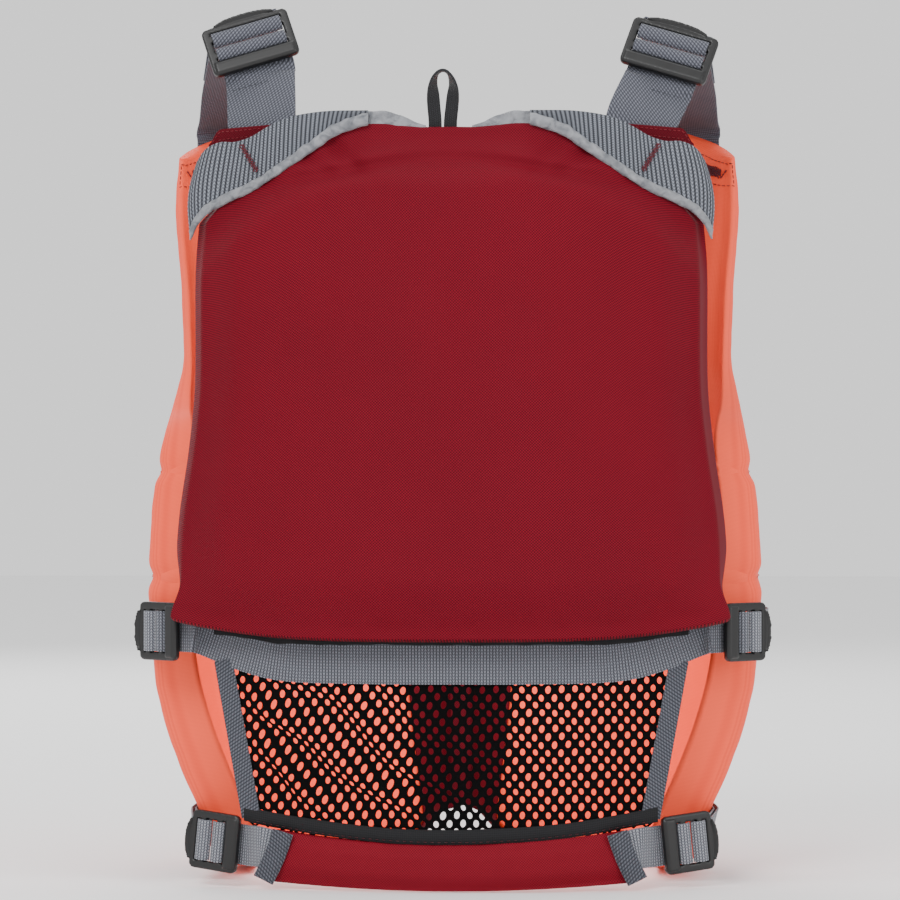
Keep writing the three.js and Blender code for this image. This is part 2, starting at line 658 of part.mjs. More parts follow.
// ---- Pockets ----
function pocketPouch() {
  return bentBlock(6, 5, (u, v, depth) => {
    const z = lerp(pocket.bottom, pocket.top - 14 * smooth(u, 0.3, 1), v);
    const puff = smooth(u, 0, 0.3) * smooth(1 - u, 0, 0.3) * smooth(v, 0, 0.3) * smooth(1 - v, 0, 0.3);
    const lift = depth > 0.5 ? 4 * gap : 4 * gap + lerp(pocket.edge, pocket.thickness, puff);
    return outline(lerp(pocket.startAngle, pocket.endAngle, u), z, -lift);
  });
}

// The pocket's zip lies on a straight line beside the pouch
function pocketZipFrame() {
  const middle = (pocket.bottom + pocket.top) / 2;
  const ends = [-0.5, 0.5].map((s) => outline(pocket.zipAngle, middle + s * pocket.zipLength, -gap - 1));
  const along = ends[1].clone().sub(ends[0]).normalize();
  const beside = outline(pocket.zipAngle + 3, middle).sub(outline(pocket.zipAngle - 3, middle)).normalize();
  beside.addScaledVector(along, -beside.dot(along)).normalize();
  const inwards = along.clone().cross(beside);
  const start = ends[0].clone().add(ends[1]).multiplyScalar(0.5);
  return new THREE.Matrix4().makeBasis(beside, inwards, along).setPosition(start);
}

// ---- Materials ----
const finish = (color, roughness = 0.8, metalness = 0) => new THREE.MeshStandardMaterial({ color, roughness, metalness });
const materials = {
  coral: finish(0xf0836a),
  coralLining: finish(0xe8795f),
  maroon: finish(0x86202e),
  liningMesh: finish(0x26272b),
  foam: finish(0xe9e6dc),
  webbing: finish(0x7b8490),
  webbingDark: finish(0x5b606b),
  binding: finish(0xa6a8ab, 0.5),
  blackMesh: finish(0x18181a),
  plastic: finish(0x1f1f22, 0.45),
  zipTape: finish(0x6d7682),
};

// ---- Assembly ----
const lifeJacket = new THREE.Group();

function add(group, name, geometry, material) {
  const piece = new THREE.Mesh(geometry, materials[material]);
  piece.name = name;
  group.add(piece);
  return piece;
}

function addAdjuster(group, name, place, width) {
  const piece = add(group, name, adjusterFrame(width), "plastic");
  piece.applyMatrix4(place.matrix);
}

// Everything that the jacket has on both sides, built for the wearer's left
function sidePieces(side) {
  const group = new THREE.Group();
  const named = (pieces) => {
    for (const [name, [geometry, material]] of Object.entries(pieces)) add(group, `${name}_${side}`, geometry, material);
  };
  named(frontPanel());
  const shoulderPlace = shoulderSeat(side);
  named(sewnStraps(shoulderPlace));
  named(frontStraps(shoulderPlace));
  named({
    hem_strap_back: [hemStrap(), "webbing"],
    mesh_edge: [meshEdge(), "webbing"],
    shoulder_yoke: [yokeStrip(yoke.seam, yoke.topEdge, yoke.thickness), "webbing"],
    yoke_binding: [yokeStrip(yoke.hem, yoke.seam, yoke.hemThickness, 0.92), "binding"],
    shoulder_tab: [shoulderTab(), "maroon"],
    zip_tape: [zipTape(), "zipTape"],
    zip_teeth: [zipTeeth(side === "left" ? 0 : zip.toothPitch / 2), "plastic"],
    pocket: [pocketPouch(), "coral"],
  });
  addAdjuster(group, `shoulder_adjuster_${side}`, shoulderPlace, webbing.shoulderWidth);
  addAdjuster(group, `waist_adjuster_${side}`, seats.waist, webbing.sideWidth);
  addAdjuster(group, `hem_adjuster_${side}`, seats.hem, webbing.sideWidth);

  const chainFrame = pocketZipFrame();
  const chainHalf = pocket.chainWidth / 2;
  const chain = box([-chainHalf, -pocket.chainThickness, -pocket.zipLength / 2], [chainHalf, 0, pocket.zipLength / 2]);
  add(group, `pocket_zip_${side}`, chain, "zipTape").applyMatrix4(chainFrame);
  const sliderPlace = vector(0, -pocket.chainThickness - gap - plateThickness, pocket.zipLength / 2 - 6);
  const slider = add(group, `pocket_zip_slider_${side}`, join(...sliderFront(8, 10)), "plastic");
  slider.position.copy(sliderPlace);
  slider.updateMatrix();
  slider.applyMatrix4(chainFrame);
  const pull = add(group, `pocket_zip_pull_${side}`, zipPull(pocket.pullLength), "plastic");
  pull.position.copy(sliderPlace).add(vector(0, -2.2, 0));
  pull.applyMatrix4(chainFrame);

  if (side === "right") group.scale.x = -1;
  return group;
}

lifeJacket.add(sidePieces("left"), sidePieces("right"));
for (const [name, [geometry, material]] of Object.entries(backPanel())) add(lifeJacket, name, geometry, material);
add(lifeJacket, "waist_belt", waistBelt(), "webbing");
add(lifeJacket, "mesh_panel", meshPanel(), "blackMesh");
add(lifeJacket, "lower_band", lowerBand(), "blackMesh");
add(lifeJacket, "hem_panel", hemFacing(), "maroon");
const loop = new THREE.ExtrudeGeometry(loopShape(), { depth: hangLoop.thickness, bevelEnabled: false, curveSegments: 5 });
loop.rotateX(Math.PI / 2).translate(3, jacket.backDepth + back.standOff + 4, hangLoop.foot);
add(lifeJacket, "hang_loop", loop, "blackMesh");
add(lifeJacket, "main_zip_slider", mainSlider(), "plastic").position.copy(mainSliderPlace);
add(lifeJacket, "main_zip_pull", zipPull(zip.pullLength), "plastic").position
  .copy(mainSliderPlace).add(vector(0, -2.2, 0));

export default lifeJacket;
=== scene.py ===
import math

import bmesh
import bpy
from mathutils import Matrix, Vector, noise


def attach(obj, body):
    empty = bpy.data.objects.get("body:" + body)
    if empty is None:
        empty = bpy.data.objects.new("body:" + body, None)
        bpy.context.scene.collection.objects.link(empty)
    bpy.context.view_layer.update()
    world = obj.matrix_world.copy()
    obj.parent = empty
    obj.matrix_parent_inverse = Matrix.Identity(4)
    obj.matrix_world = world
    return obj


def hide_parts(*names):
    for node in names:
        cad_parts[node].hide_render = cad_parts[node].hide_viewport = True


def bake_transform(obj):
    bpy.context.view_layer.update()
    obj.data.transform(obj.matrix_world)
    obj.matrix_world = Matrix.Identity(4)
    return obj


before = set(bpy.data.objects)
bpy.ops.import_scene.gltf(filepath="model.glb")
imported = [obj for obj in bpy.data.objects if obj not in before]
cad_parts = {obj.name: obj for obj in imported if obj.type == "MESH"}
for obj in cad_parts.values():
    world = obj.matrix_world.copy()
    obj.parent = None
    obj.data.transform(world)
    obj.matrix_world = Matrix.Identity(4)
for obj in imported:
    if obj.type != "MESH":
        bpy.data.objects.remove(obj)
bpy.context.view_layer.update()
print("frame loaded")

mm = 0.001
up = Vector((0, 0, 1))
signs = {"left": 1, "right": -1}


view = {"distance": 2.4, "lens": 160, "aim": (-0.0013, 0.142, 0.2692), "turn": -1.8}


def setCamera():
    turn = math.radians(view["turn"])
    aim = Vector(view["aim"])
    place = aim + view["distance"] * Vector((math.sin(turn), math.cos(turn), 0))
    bpy.ops.object.camera_add(location=place, rotation=(math.pi / 2, 0, math.pi - turn))
    camera = bpy.context.object
    camera.data.lens = view["lens"]
    camera.data.sensor_width = 36
    bpy.context.scene.camera = camera


def addLamp(name, place, target, size, power, color=(1, 1, 1)):
    bpy.ops.object.light_add(type="AREA", location=place)
    lamp = bpy.context.object
    lamp.name = name
    lamp.data.shape = "DISK"
    lamp.data.size = size
    lamp.data.energy = power
    lamp.data.color = color
    lamp.rotation_euler = (Vector(target) - Vector(place)).to_track_quat("-Z", "Y").to_euler()


setCamera()
addLamp("keyLamp", (0.9, 2.3, 1.9), (0, 0, 0.27), 1.2, 52)
addLamp("fillLamp", (-1.7, 1.8, 0.9), (0, 0, 0.25), 1.4, 20)
addLamp("frontLamp", (0.6, -2.2, 1.5), (0, 0, 0.27), 1.6, 26)
addLamp("topLamp", (0, 0.1, 2.4), (0, 0, 0.2), 1.5, 14)
addLamp("insideLamp", (0, 0.06, 0.17), (0, -0.13, 0.1), 0.16, 0.7)

world = bpy.data.worlds.new("studio")
world.use_nodes = True
world.node_tree.nodes["Background"].inputs["Color"].default_value = (1, 1, 1, 1)
world.node_tree.nodes["Background"].inputs["Strength"].default_value = 1.15
bpy.context.scene.world = world


def linear(hexColor):
    parts = [((hexColor >> shift) & 255) / 255 for shift in (16, 8, 0)]
    return (*[c / 12.92 if c <= 0.04045 else ((c + 0.055) / 1.055) ** 2.4 for c in parts], 1)


def addNode(tree, kind, inputs=(), **settings):
    # an input is a value, another node's socket, or a node, which gives its first output
    node = tree.nodes.new("ShaderNode" + kind)
    for name, value in settings.items():
        setattr(node, name, value)
    for name, value in inputs.items() if isinstance(inputs, dict) else enumerate(inputs):
        if isinstance(value, bpy.types.Node):
            value = value.outputs[0]
        if isinstance(value, bpy.types.NodeSocket):
            tree.links.new(value, node.inputs[name])
        else:
            node.inputs[name].default_value = value
    return node


def clamp(value, low=0.0, high=1.0):
    return max(low, min(high, value))


def lerp(a, b, share):
    return a + (b - a) * share


def smooth(value, low=0.0, high=1.0):
    share = clamp((value - low) / (high - low))
    return share * share * (3 - 2 * share)


def bump(value, middle, width):
    return math.exp(-((value - middle) / width) ** 2)


def readTable(rows, at):
    x = clamp(at, rows[0][0], rows[-1][0])
    i = next(k for k in range(1, len(rows)) if rows[k][0] >= x) - 1
    (x0, y0), (x1, y1) = rows[i], rows[i + 1]

    def slope(a, b):
        return (rows[b][1] - rows[a][1]) / (rows[b][0] - rows[a][0])

    startSlope = slope(i - 1, i + 1) if i > 0 else slope(i, i + 1)
    endSlope = slope(i, i + 2) if i < len(rows) - 2 else slope(i, i + 1)
    t, span = (x - x0) / (x1 - x0), x1 - x0
    return (
        (2 * t**3 - 3 * t**2 + 1) * y0
        + (t**3 - 2 * t**2 + t) * span * startSlope
        + (3 * t**2 - 2 * t**3) * y1
        + (t**3 - t**2) * span * endSlope
    )


def ripple(point, scale, seed=0.0):
    return noise.noise(Vector(point) / scale + Vector((seed, seed * 1.7, seed * 0.3)))


def selectOnly(*pieces):
    bpy.ops.object.select_all(action="DESELECT")
    for piece in pieces:
        piece.select_set(True)
    bpy.context.view_layer.objects.active = pieces[0]


def finish(piece, *modifiers):
    selectOnly(piece)
    for kind, settings in modifiers:
        modifier = piece.modifiers.new(kind.lower(), kind)
        for name, value in settings.items():
            setattr(modifier, name, value)
        bpy.ops.object.modifier_apply(modifier=modifier.name)
    return piece


def shade(piece, material, angle=None):
    piece.data.materials.clear()
    piece.data.materials.append(material)
    selectOnly(piece)
    if angle is None:
        bpy.ops.object.shade_smooth()
    else:
        bpy.ops.object.shade_smooth_by_angle(angle=math.radians(angle))
    return piece


def gridSheet(name, columns, rows, place, width, height):
    # the sheet's own pattern coordinates are metres across it and along it
    bpy.ops.object.select_all(action="DESELECT")
    bpy.ops.mesh.primitive_grid_add(x_subdivisions=columns, y_subdivisions=rows, size=1)
    piece = bpy.context.object
    piece.name = piece.data.name = name
    for vertex in piece.data.vertices:
        vertex.co = place(vertex.co.x + 0.5, vertex.co.y + 0.5) * mm
    for corner in piece.data.uv_layers.active.data:
        corner.uv = (corner.uv.x * width * mm, corner.uv.y * height * mm)
    return piece


def thicken(piece, thickness, rounding=0.3):
    return finish(
        piece,
        ("SOLIDIFY", {"thickness": thickness * mm, "offset": 0}),
        ("BEVEL", {"width": rounding * mm, "segments": 2, "angle_limit": math.radians(50)}),
    )


def paddedShell(name, columns, rows, face, width, height, wallCuts):
    # an outer and an inner face with the same number of edges, joined by a side wall
    shell = gridSheet(name, columns, rows, lambda u, v: face(u, v, True), width, height)
    inner = gridSheet(name + "Inner", columns, rows, lambda u, v: face(u, v, False), width, height)
    selectOnly(shell, inner)
    bpy.ops.object.join()
    bpy.ops.object.mode_set(mode="EDIT")
    bpy.ops.mesh.select_mode(type="EDGE")
    bpy.ops.mesh.select_all(action="DESELECT")
    bpy.ops.mesh.select_non_manifold()
    bpy.ops.mesh.bridge_edge_loops(number_cuts=wallCuts)
    bpy.ops.mesh.select_all(action="SELECT")
    bpy.ops.mesh.normals_make_consistent(inside=False)
    bpy.ops.mesh.select_all(action="DESELECT")
    bpy.ops.object.mode_set(mode="OBJECT")
    return finish(shell, ("SUBSURF", {"levels": 1, "render_levels": 1}))


def mirrored(piece, name):
    copy = piece.copy()
    copy.data = piece.data.copy()
    copy.name = copy.data.name = name
    bpy.context.collection.objects.link(copy)
    copy.data.transform(Matrix.Scale(-1, 4, Vector((1, 0, 0))))
    copy.data.flip_normals()
    return copy


def evenPath(points):
    # a smooth line through the points, read by its share of the length
    dense = []
    for i in range(len(points) - 1):
        p0, p1, p2, p3 = (points[clamp(i + k, 0, len(points) - 1)] for k in (-1, 0, 1, 2))
        for k in range(12):
            t = k / 12
            place = 0.5 * (
                2 * p1 + (p2 - p0) * t + (2 * p0 - 5 * p1 + 4 * p2 - p3) * t**2
                + (3 * p1 - p0 - 3 * p2 + p3) * t**3
            )
            dense.append((i + t, place))
    dense.append((len(points) - 1, points[-1]))
    lengths = [0.0]
    for (_, a), (_, b) in zip(dense, dense[1:]):
        lengths.append(lengths[-1] + (b - a).length)

    def at(share):
        goal = clamp(share) * lengths[-1]
        i = next((k for k in range(1, len(lengths)) if lengths[k] >= goal), len(lengths) - 1)
        t = (goal - lengths[i - 1]) / max(lengths[i] - lengths[i - 1], 1e-9)
        (ia, a), (ib, b) = dense[i - 1], dense[i]
        return a.lerp(b, t), (b - a).normalized(), lerp(ia, ib, t)

    return at, lengths[-1]


def webbingStrip(name, stations, width, thickness, columns=8, step=1.6, crown=0.0):
    at, length = evenPath([place for place, _ in stations])

    def place(u, v):
        point, tangent, index = at(v)
        i = min(int(index), len(stations) - 2)
        across = stations[i][1].lerp(stations[i + 1][1], index - i)
        across = (across - across.dot(tangent) * tangent).normalized()
        through = tangent.cross(across)
        side = 2 * u - 1
        lift = crown * (1 - side * side) + 0.12 * ripple(point, 9, width)
        return point + across * side * width / 2 + through * lift

    strip = gridSheet(name, columns, max(4, round(length / step)), place, width, length)
    return thicken(strip, thickness, 0.35)


def stitchRow(name, points, material, stitch=2.6, space=1.0, thread=0.55):
    # one small capsule is modelled, then laid end to end along the line
    at, length = evenPath(points)
    bpy.ops.mesh.primitive_cylinder_add(vertices=6, radius=thread * mm / 2, depth=stitch * mm)
    single = bpy.context.object
    selectOnly(single)
    bpy.ops.object.mode_set(mode="EDIT")
    bpy.ops.mesh.select_all(action="SELECT")
    bpy.ops.mesh.bevel(offset=thread * mm * 0.3, segments=1)
    bpy.ops.object.mode_set(mode="OBJECT")
    shape = bmesh.new()
    count = max(1, int(length / (stitch + space)))
    for i in range(count):
        point, tangent, _ = at((i + 0.5) / count)
        turn = tangent.to_track_quat("Z", "Y").to_matrix().to_4x4()
        copy = single.data.copy()
        copy.transform(Matrix.Translation(point * mm) @ turn)
        shape.from_mesh(copy)
        bpy.data.meshes.remove(copy)
    shape.to_mesh(single.data)
    shape.free()
    single.name = single.data.name = name
    return shade(single, material)


def settle(piece, body, slotName, *nodes):
    # a piece given no body is left unattached
    if body:
        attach(piece, body)
    if nodes:
        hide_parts(*nodes)
    return piece


# every length from here on is in millimetres
jacket = {"halfWidth": 194, "frontDepth": 139, "backDepth": 107, "backRadius": 399, "squareness": 0.77}
sideProfile = [
    (0, 0.765), (45, 0.84), (95, 0.93), (140, 0.98), (190, 1), (245, 0.98),
    (300, 0.935), (360, 0.925), (430, 0.945), (500, 0.93),
]
frontProfile = [(0, 1), (330, 1), (365, 0.975), (420, 0.84), (500, 0.66)]


def halfWidthAt(z):
    return jacket["halfWidth"] * readTable(sideProfile, z)


def frontDepthAt(z):
    return jacket["frontDepth"] * readTable(frontProfile, z)


def spread(value):
    return math.copysign(abs(value) ** jacket["squareness"], value)


def outline(angle, z, inset=0.0):
    a = math.radians(angle)
    return Vector((
        (halfWidthAt(z) - inset) * spread(math.sin(a)),
        -(frontDepthAt(z) - inset) * spread(math.cos(a)),
        z,
    ))


def angleAt(x, z):
    return math.degrees(math.asin(clamp(x / halfWidthAt(z)) ** (1 / jacket["squareness"])))


def backPoint(x, z, offset=0.0):
    radius = jacket["backRadius"]
    return Vector((x, jacket["backDepth"] - radius + math.sqrt(radius * radius - x * x) + offset, z))


def newMaterial(name, color, roughness, sheen=0.0, specular=0.3, ior=1.5):
    material = bpy.data.materials.new(name)
    material.use_nodes = True
    shader = material.node_tree.nodes["Principled BSDF"]
    shader.inputs["Base Color"].default_value = linear(color)
    shader.inputs["Roughness"].default_value = roughness
    shader.inputs["Specular IOR Level"].default_value = specular
    shader.inputs["IOR"].default_value = ior
    if sheen:
        shader.inputs["Sheen Weight"].default_value = sheen
        shader.inputs["Sheen Roughness"].default_value = 0.5
    return material, material.node_tree, shader


def clothCoordinates(tree):
    # u is metres across the cloth and v metres along it
    parts = addNode(tree, "SeparateXYZ", {"Vector": addNode(tree, "UVMap")})
    return parts.outputs["X"], parts.outputs["Y"]


def paint(tree, shader, height, dark, light, depth, blotch=None, strength=1.0):
    # height goes from 0 in the gaps between threads to 1 on top of them; the gaps take the dark colour
    # and the tops the light one, which is painted shade between the threads
    mix = addNode(tree, "Mix", {0: height, 6: linear(dark), 7: linear(light)}, data_type="RGBA")
    color = mix.outputs[2]
    if blotch:
        size, amount = blotch
        place = addNode(tree, "TexCoord").outputs["Object"]
        cloud = addNode(tree, "TexNoise", {"Vector": place, "Scale": 1 / (size * mm), "Detail": 3.0})
        value = addNode(tree, "Math", [cloud, 2 * amount, 1 - amount], operation="MULTIPLY_ADD")
        color = addNode(tree, "HueSaturation", {"Color": color, "Value": value}).outputs["Color"]
    tree.links.new(color, shader.inputs["Base Color"])
    relief = addNode(tree, "Bump", {"Strength": strength, "Distance": depth * mm, "Height": height})
    tree.links.new(relief.outputs["Normal"], shader.inputs["Normal"])


def wave(tree, phase):
    # 0 to 1 and back once for each whole step of the phase
    turns = addNode(tree, "Math", [phase, 2 * math.pi], operation="MULTIPLY")
    swing = addNode(tree, "Math", [turns], operation="SINE")
    return addNode(tree, "Math", [swing, 0.5, 0.5], operation="MULTIPLY_ADD")


def stripes(tree, along, pitch):
    return wave(tree, addNode(tree, "Math", [along, pitch * mm], operation="DIVIDE"))


def woven(tree, first, second):
    # two crossing sets of threads, each giving half of the height
    half = addNode(tree, "Math", [second, 0.5], operation="MULTIPLY")
    return addNode(tree, "Math", [first, 0.5, half], operation="MULTIPLY_ADD")


def twillCloth(name, dark, light, pitch, depth, roughness, blotch=(45, 0.05)):
    # nylon twill: fine diagonal ribs, broken into dots by the threads that cross them
    material, tree, shader = newMaterial(name, light, roughness, 0.0, 0.12)
    u, v = clothCoordinates(tree)
    ribs = stripes(tree, addNode(tree, "Math", [u, v], operation="ADD"), pitch)
    threads = stripes(tree, addNode(tree, "Math", [u, v], operation="SUBTRACT"), pitch)
    paint(tree, shader, woven(tree, threads, ribs), dark, light, depth, blotch)
    return material


def plainCloth(name, dark, light, pitch, depth, roughness, sheen=0.0, blotch=(40, 0.04)):
    # plain weave: threads pass over and under one by one, which leaves an even, dull grain
    material, tree, shader = newMaterial(name, light, roughness, sheen)
    u, v = clothCoordinates(tree)
    height = woven(tree, stripes(tree, u, pitch), stripes(tree, v, pitch))
    paint(tree, shader, height, dark, light, depth, blotch)
    return material


def chevronWebbing(name, dark, light, ribPitch, threadPitch, slant, depth, crossed=False, gap=0.5):
    # columns of V-shaped threads, with a groove between one column and the next
    material, tree, shader = newMaterial(name, light, 0.75, 0.15)
    u, v = clothCoordinates(tree)
    if crossed:
        u, v = v, u
    across = addNode(tree, "Math", [u, ribPitch * mm / 2], operation="PINGPONG")
    slanted = addNode(tree, "Math", [across, slant, v], operation="MULTIPLY_ADD")
    threads = stripes(tree, slanted, threadPitch)
    columnPhase = addNode(tree, "Math", [u, 2 / (ribPitch * mm), 0.25], operation="MULTIPLY_ADD")
    columnHigh = addNode(tree, "Math", [wave(tree, columnPhase), gap], operation="POWER")
    threadHigh = addNode(tree, "Math", [threads, 0.7, 0.3], operation="MULTIPLY_ADD")
    height = addNode(tree, "Math", [threadHigh, columnHigh], operation="MULTIPLY")
    paint(tree, shader, height, dark, light, depth, (14, 0.06))
    return material


def slantWebbing(name, dark, light, ribPitch, threadPitch, slant, depth):
    # close ribs along the strap, each crossed by slanted threads
    material, tree, shader = newMaterial(name, light, 0.75, 0.15)
    u, v = clothCoordinates(tree)
    threads = stripes(tree, addNode(tree, "Math", [u, slant, v], operation="MULTIPLY_ADD"), threadPitch)
    ribs = stripes(tree, addNode(tree, "Math", [v, 0.25, u], operation="MULTIPLY_ADD"), ribPitch)
    threadHigh = addNode(tree, "Math", [threads, 0.7], operation="POWER")
    ribHigh = addNode(tree, "Math", [ribs, 0.7, 0.3], operation="MULTIPLY_ADD")
    height = addNode(tree, "Math", [threadHigh, ribHigh], operation="MULTIPLY")
    paint(tree, shader, height, dark, light, depth, (14, 0.06))
    return material


def knitCloth(name, dark, light):
    # dull looped yarn, too fine for its loops to be drawn one by one
    material, tree, shader = newMaterial(name, light, 0.95, 0.0, 0.08)
    place = addNode(tree, "TexCoord").outputs["Object"]
    loops = addNode(tree, "TexVoronoi", {"Vector": place, "Scale": 1400.0})
    paint(tree, shader, loops.outputs["Distance"], dark, light, 0.3)
    return material


def satinCloth(name, dark, light):
    # smooth face of floating threads: a soft shine, with small creases across it whose hollows are
    # painted darker, as painted shade in the creases
    material, tree, shader = newMaterial(name, light, 0.42, 0.2)
    place = addNode(tree, "TexCoord").outputs["Object"]
    creases = addNode(
        tree, "TexNoise", {"Vector": place, "Scale": 160.0, "Detail": 4.0, "Distortion": 0.6}
    )
    ramp = addNode(tree, "Math", [creases.outputs["Fac"], 0.62, 0.2], operation="SMOOTH_MIN")
    height = addNode(tree, "Math", [ramp, 2.2, -0.6], operation="MULTIPLY_ADD")
    paint(tree, shader, height, dark, light, 1.1, None, 0.5)
    return material


def mouldedPlastic(name, color, roughness):
    # moulded acetal: an even, low gloss with the fine texture of the mould
    material, tree, shader = newMaterial(name, color, roughness, 0.0, 0.5, 1.48)
    place = addNode(tree, "TexCoord").outputs["Object"]
    grain = addNode(tree, "TexNoise", {"Vector": place, "Scale": 2600.0, "Detail": 2.0})
    relief = addNode(tree, "Bump", {"Strength": 0.25, "Distance": 0.05 * mm, "Height": grain})
    tree.links.new(relief.outputs["Normal"], shader.inputs["Normal"])
    wear = addNode(tree, "TexNoise", {"Vector": place, "Scale": 90.0, "Detail": 3.0})
    gloss = addNode(tree, "Math", [wear, 0.2, roughness - 0.1], operation="MULTIPLY_ADD")
    tree.links.new(gloss.outputs[0], shader.inputs["Roughness"])
    return material


def threadMaterial(name, color):
    # bonded nylon sewing thread: smooth, with a faint shine
    material, tree, shader = newMaterial(name, color, 0.5, 0.1)
    place = addNode(tree, "TexCoord").outputs["Object"]
    tone = addNode(tree, "TexNoise", {"Vector": place, "Scale": 700.0})
    value = addNode(tree, "Math", [tone, 0.5, 0.75], operation="MULTIPLY_ADD")
    hue = addNode(tree, "HueSaturation", {"Color": linear(color), "Value": value})
    tree.links.new(hue.outputs["Color"], shader.inputs["Base Color"])
    return material


# real threads are 0.3 mm or so apart: they are drawn 0.9 to 2.4 mm apart, so that they show
redTwill = twillCloth("redNylonTwill", 0x32000A, 0x7C041C, 1.7, 0.2, 0.7, (60, 0.1))
# a lighter copy of the same red twill for the hem: its lighter colour is painted sheen, for light falling
# on the upward-facing hem
hemTwillPaintedSheen = twillCloth("redNylonTwillHemPaintedSheen", 0x45040F, 0x8A1024, 1.7, 0.2, 0.7, (60, 0.1))
redFacing = twillCloth("redFacingTwill", 0x3C010B, 0x5C0315, 1.6, 0.2, 0.75)
coralCloth = plainCloth("coralNylonPlainWeave", 0xEE4526, 0xFF5836, 0.9, 0.07, 0.66, 0.0, (60, 0.06))
beltWebbing = chevronWebbing("greyChevronWebbing", 0x14161E, 0x82858F, 3.8, 1.9, 1.3, 0.45, True)
sideWebbing = chevronWebbing("greySideWebbing", 0x262832, 0x989BA3, 3.4, 1.8, 1.2, 0.35, True)
yokeWebbing = chevronWebbing("greyYokeWebbing", 0x11131A, 0x8C919C, 6.2, 1.9, 1.1, 0.5, False, 0.9)
shoulderWebbing = slantWebbing("greyShoulderWebbing", 0x25272F, 0x6E707B, 2.1, 1.9, -0.6, 0.35)
darkWebbing = slantWebbing("darkGreyFineWebbing", 0x272833, 0x62646F, 1.6, 1.6, 0.0, 0.25)
edgeWebbing = slantWebbing("greyEdgeWebbing", 0x1C1E27, 0x5E616A, 1.8, 2.0, 0.4, 0.35)
satin = satinCloth("greySatinBinding", 0x4E5157, 0x8F9094)
blackWebbing = chevronWebbing("blackRibbedWebbing", 0x050506, 0x1D1D21, 2.6, 1.4, 1.0, 0.35)
blackBand = plainCloth("blackBindingTape", 0x070709, 0x17171A, 1.3, 0.15, 0.8)
netKnit = knitCloth("blackNetKnit", 0x020202, 0x0B0A0B)
liningKnit = plainCloth("blackKnitLining", 0x1A1B1F, 0x34363C, 2.4, 0.5, 0.9, 0.1)
tapeCloth = mouldedPlastic("greyZipTape", 0x6E7783, 0.75)
acetal = mouldedPlastic("blackAcetal", 0x060607, 0.4)
zipPlastic = mouldedPlastic("blackZipPlastic", 0x141417, 0.38)
redThread = threadMaterial("redThread", 0x7A0A1C)
darkThread = threadMaterial("darkRedThread", 0x4E0210)
tackThread = threadMaterial("tackThread", 0x5A0A1C)
orangeThread = threadMaterial("orangeThread", 0xC8240E)
greyThread = threadMaterial("greyThread", 0x30323A)
print("materials made")


back = {
    "thickness": 29, "edgeThickness": 19, "standOff": 5, "bottom": 152, "bottomRise": 12, "top": 462,
    "shoulderDrop": 62, "topTaper": 40, "topThickness": 9, "gussetSlope": 6, "plump": 7,
    "earReach": 5, "earLift": 8, "creaseHeight": 441, "creaseDepth": 5, "puckerHeight": 447,
    "puckers": [(-0.5, 1.1, 4), (-0.38, 0.7, 2.5), (0.4, -0.9, 5), (0.55, -1.5, 3)],
    "halfWidths": [
        (150, 167), (172, 166), (190, 164.5), (229, 161.5), (269, 155.5), (309, 151.5),
        (381, 151), (420, 148), (470, 146),
    ],
}


def backTopAt(side):
    # the neck dips a little in the middle, and the corners run on under the yoke
    rise = 3 + 6 * smooth(abs(side), 0.08, 0.36)
    return back["top"] + rise - back["shoulderDrop"] * abs(side) ** 2.6


def backBottomAt(side):
    return back["bottom"] + back["bottomRise"] * abs(side) ** 4


def backThicknessAt(side, v):
    acrossEdge = smooth(1 - abs(side), 0, 0.2)
    full = lerp(back["edgeThickness"], back["thickness"], acrossEdge * smooth(v, 0, 0.12))
    fromTop = (1 - v) * (backTopAt(side) - backBottomAt(side))
    return lerp(back["topThickness"], full, smooth(fromTop, 4, back["topTaper"]))


def backFace(u, v, isOuter):
    side = 2 * u - 1
    narrow = back["gussetSlope"] * smooth(v, 0.02, 0.2) if isOuter else 0
    low = 2.5 if isOuter else 0
    z = lerp(backBottomAt(side) + low, backTopAt(side), v)
    half = readTable(back["halfWidths"], z) + back["plump"] * smooth(v, 0.03, 0.2)
    ear = smooth(abs(side), 0.8, 1) * (1 - smooth(v, 0, 0.1))
    x = side * (half - narrow * abs(side) ** 6 + back["earReach"] * ear)
    lift = back["standOff"] + back["earLift"] * smooth(abs(side), 0.72, 1) * (1 - smooth(v, 0, 0.2))
    if isOuter:
        lift += backThicknessAt(side, v)
        # cloth sinks where it leaves the top of the foam, and puckers below the yoke's inner ends
        creaseLine = back["creaseHeight"] + 4 * math.cos(side * 5) - 9 * abs(side) ** 2
        fade = 1 - smooth(abs(side), 0.5, 0.8)
        crease = back["creaseDepth"] * bump(z, creaseLine, 3.4) * fade
        lift -= crease * lerp(0.5, 1, smooth(abs(side), 0.02, 0.3))
        for start, lean, deep in back["puckers"]:
            across = (side - start) * 150 + lean * (z - back["puckerHeight"] + 2)
            lift -= deep * bump(across, 0, 6) * bump(z, back["puckerHeight"], 13)
        lift += 2.2 * bump(z, creaseLine + 7, 5) * fade
        lift += 0.9 * ripple((x, 0, z), 55, 3.1) + 0.35 * ripple((x * 1.5, 0, z), 16, 8.3)
        gather = 0.5 + 0.5 * math.sin(side * 41 + 4 * ripple((x, 0, 0), 30))
        lift -= 1.2 * bump(z, backBottomAt(side) + 9, 4) * gather
    return backPoint(x, z, lift)


backPanel = paddedShell("backPanel", 88, 100, backFace, 310, 305, 5)
shade(backPanel, redTwill)
settle(backPanel, "back", "maroon_shell", "back_cover", "back_foam")


lining = {"bottomInset": 6, "topInset": 4, "sideInset": 6, "gap": 0.9, "thickness": 0.8}


def liningPlace(u, v):
    side = 2 * u - 1
    z = lerp(backBottomAt(side) + lining["bottomInset"], backTopAt(side) - lining["topInset"], v)
    half = readTable(back["halfWidths"], z) - lining["sideInset"]
    return backPoint(side * half, z, back["standOff"] - lining["gap"])


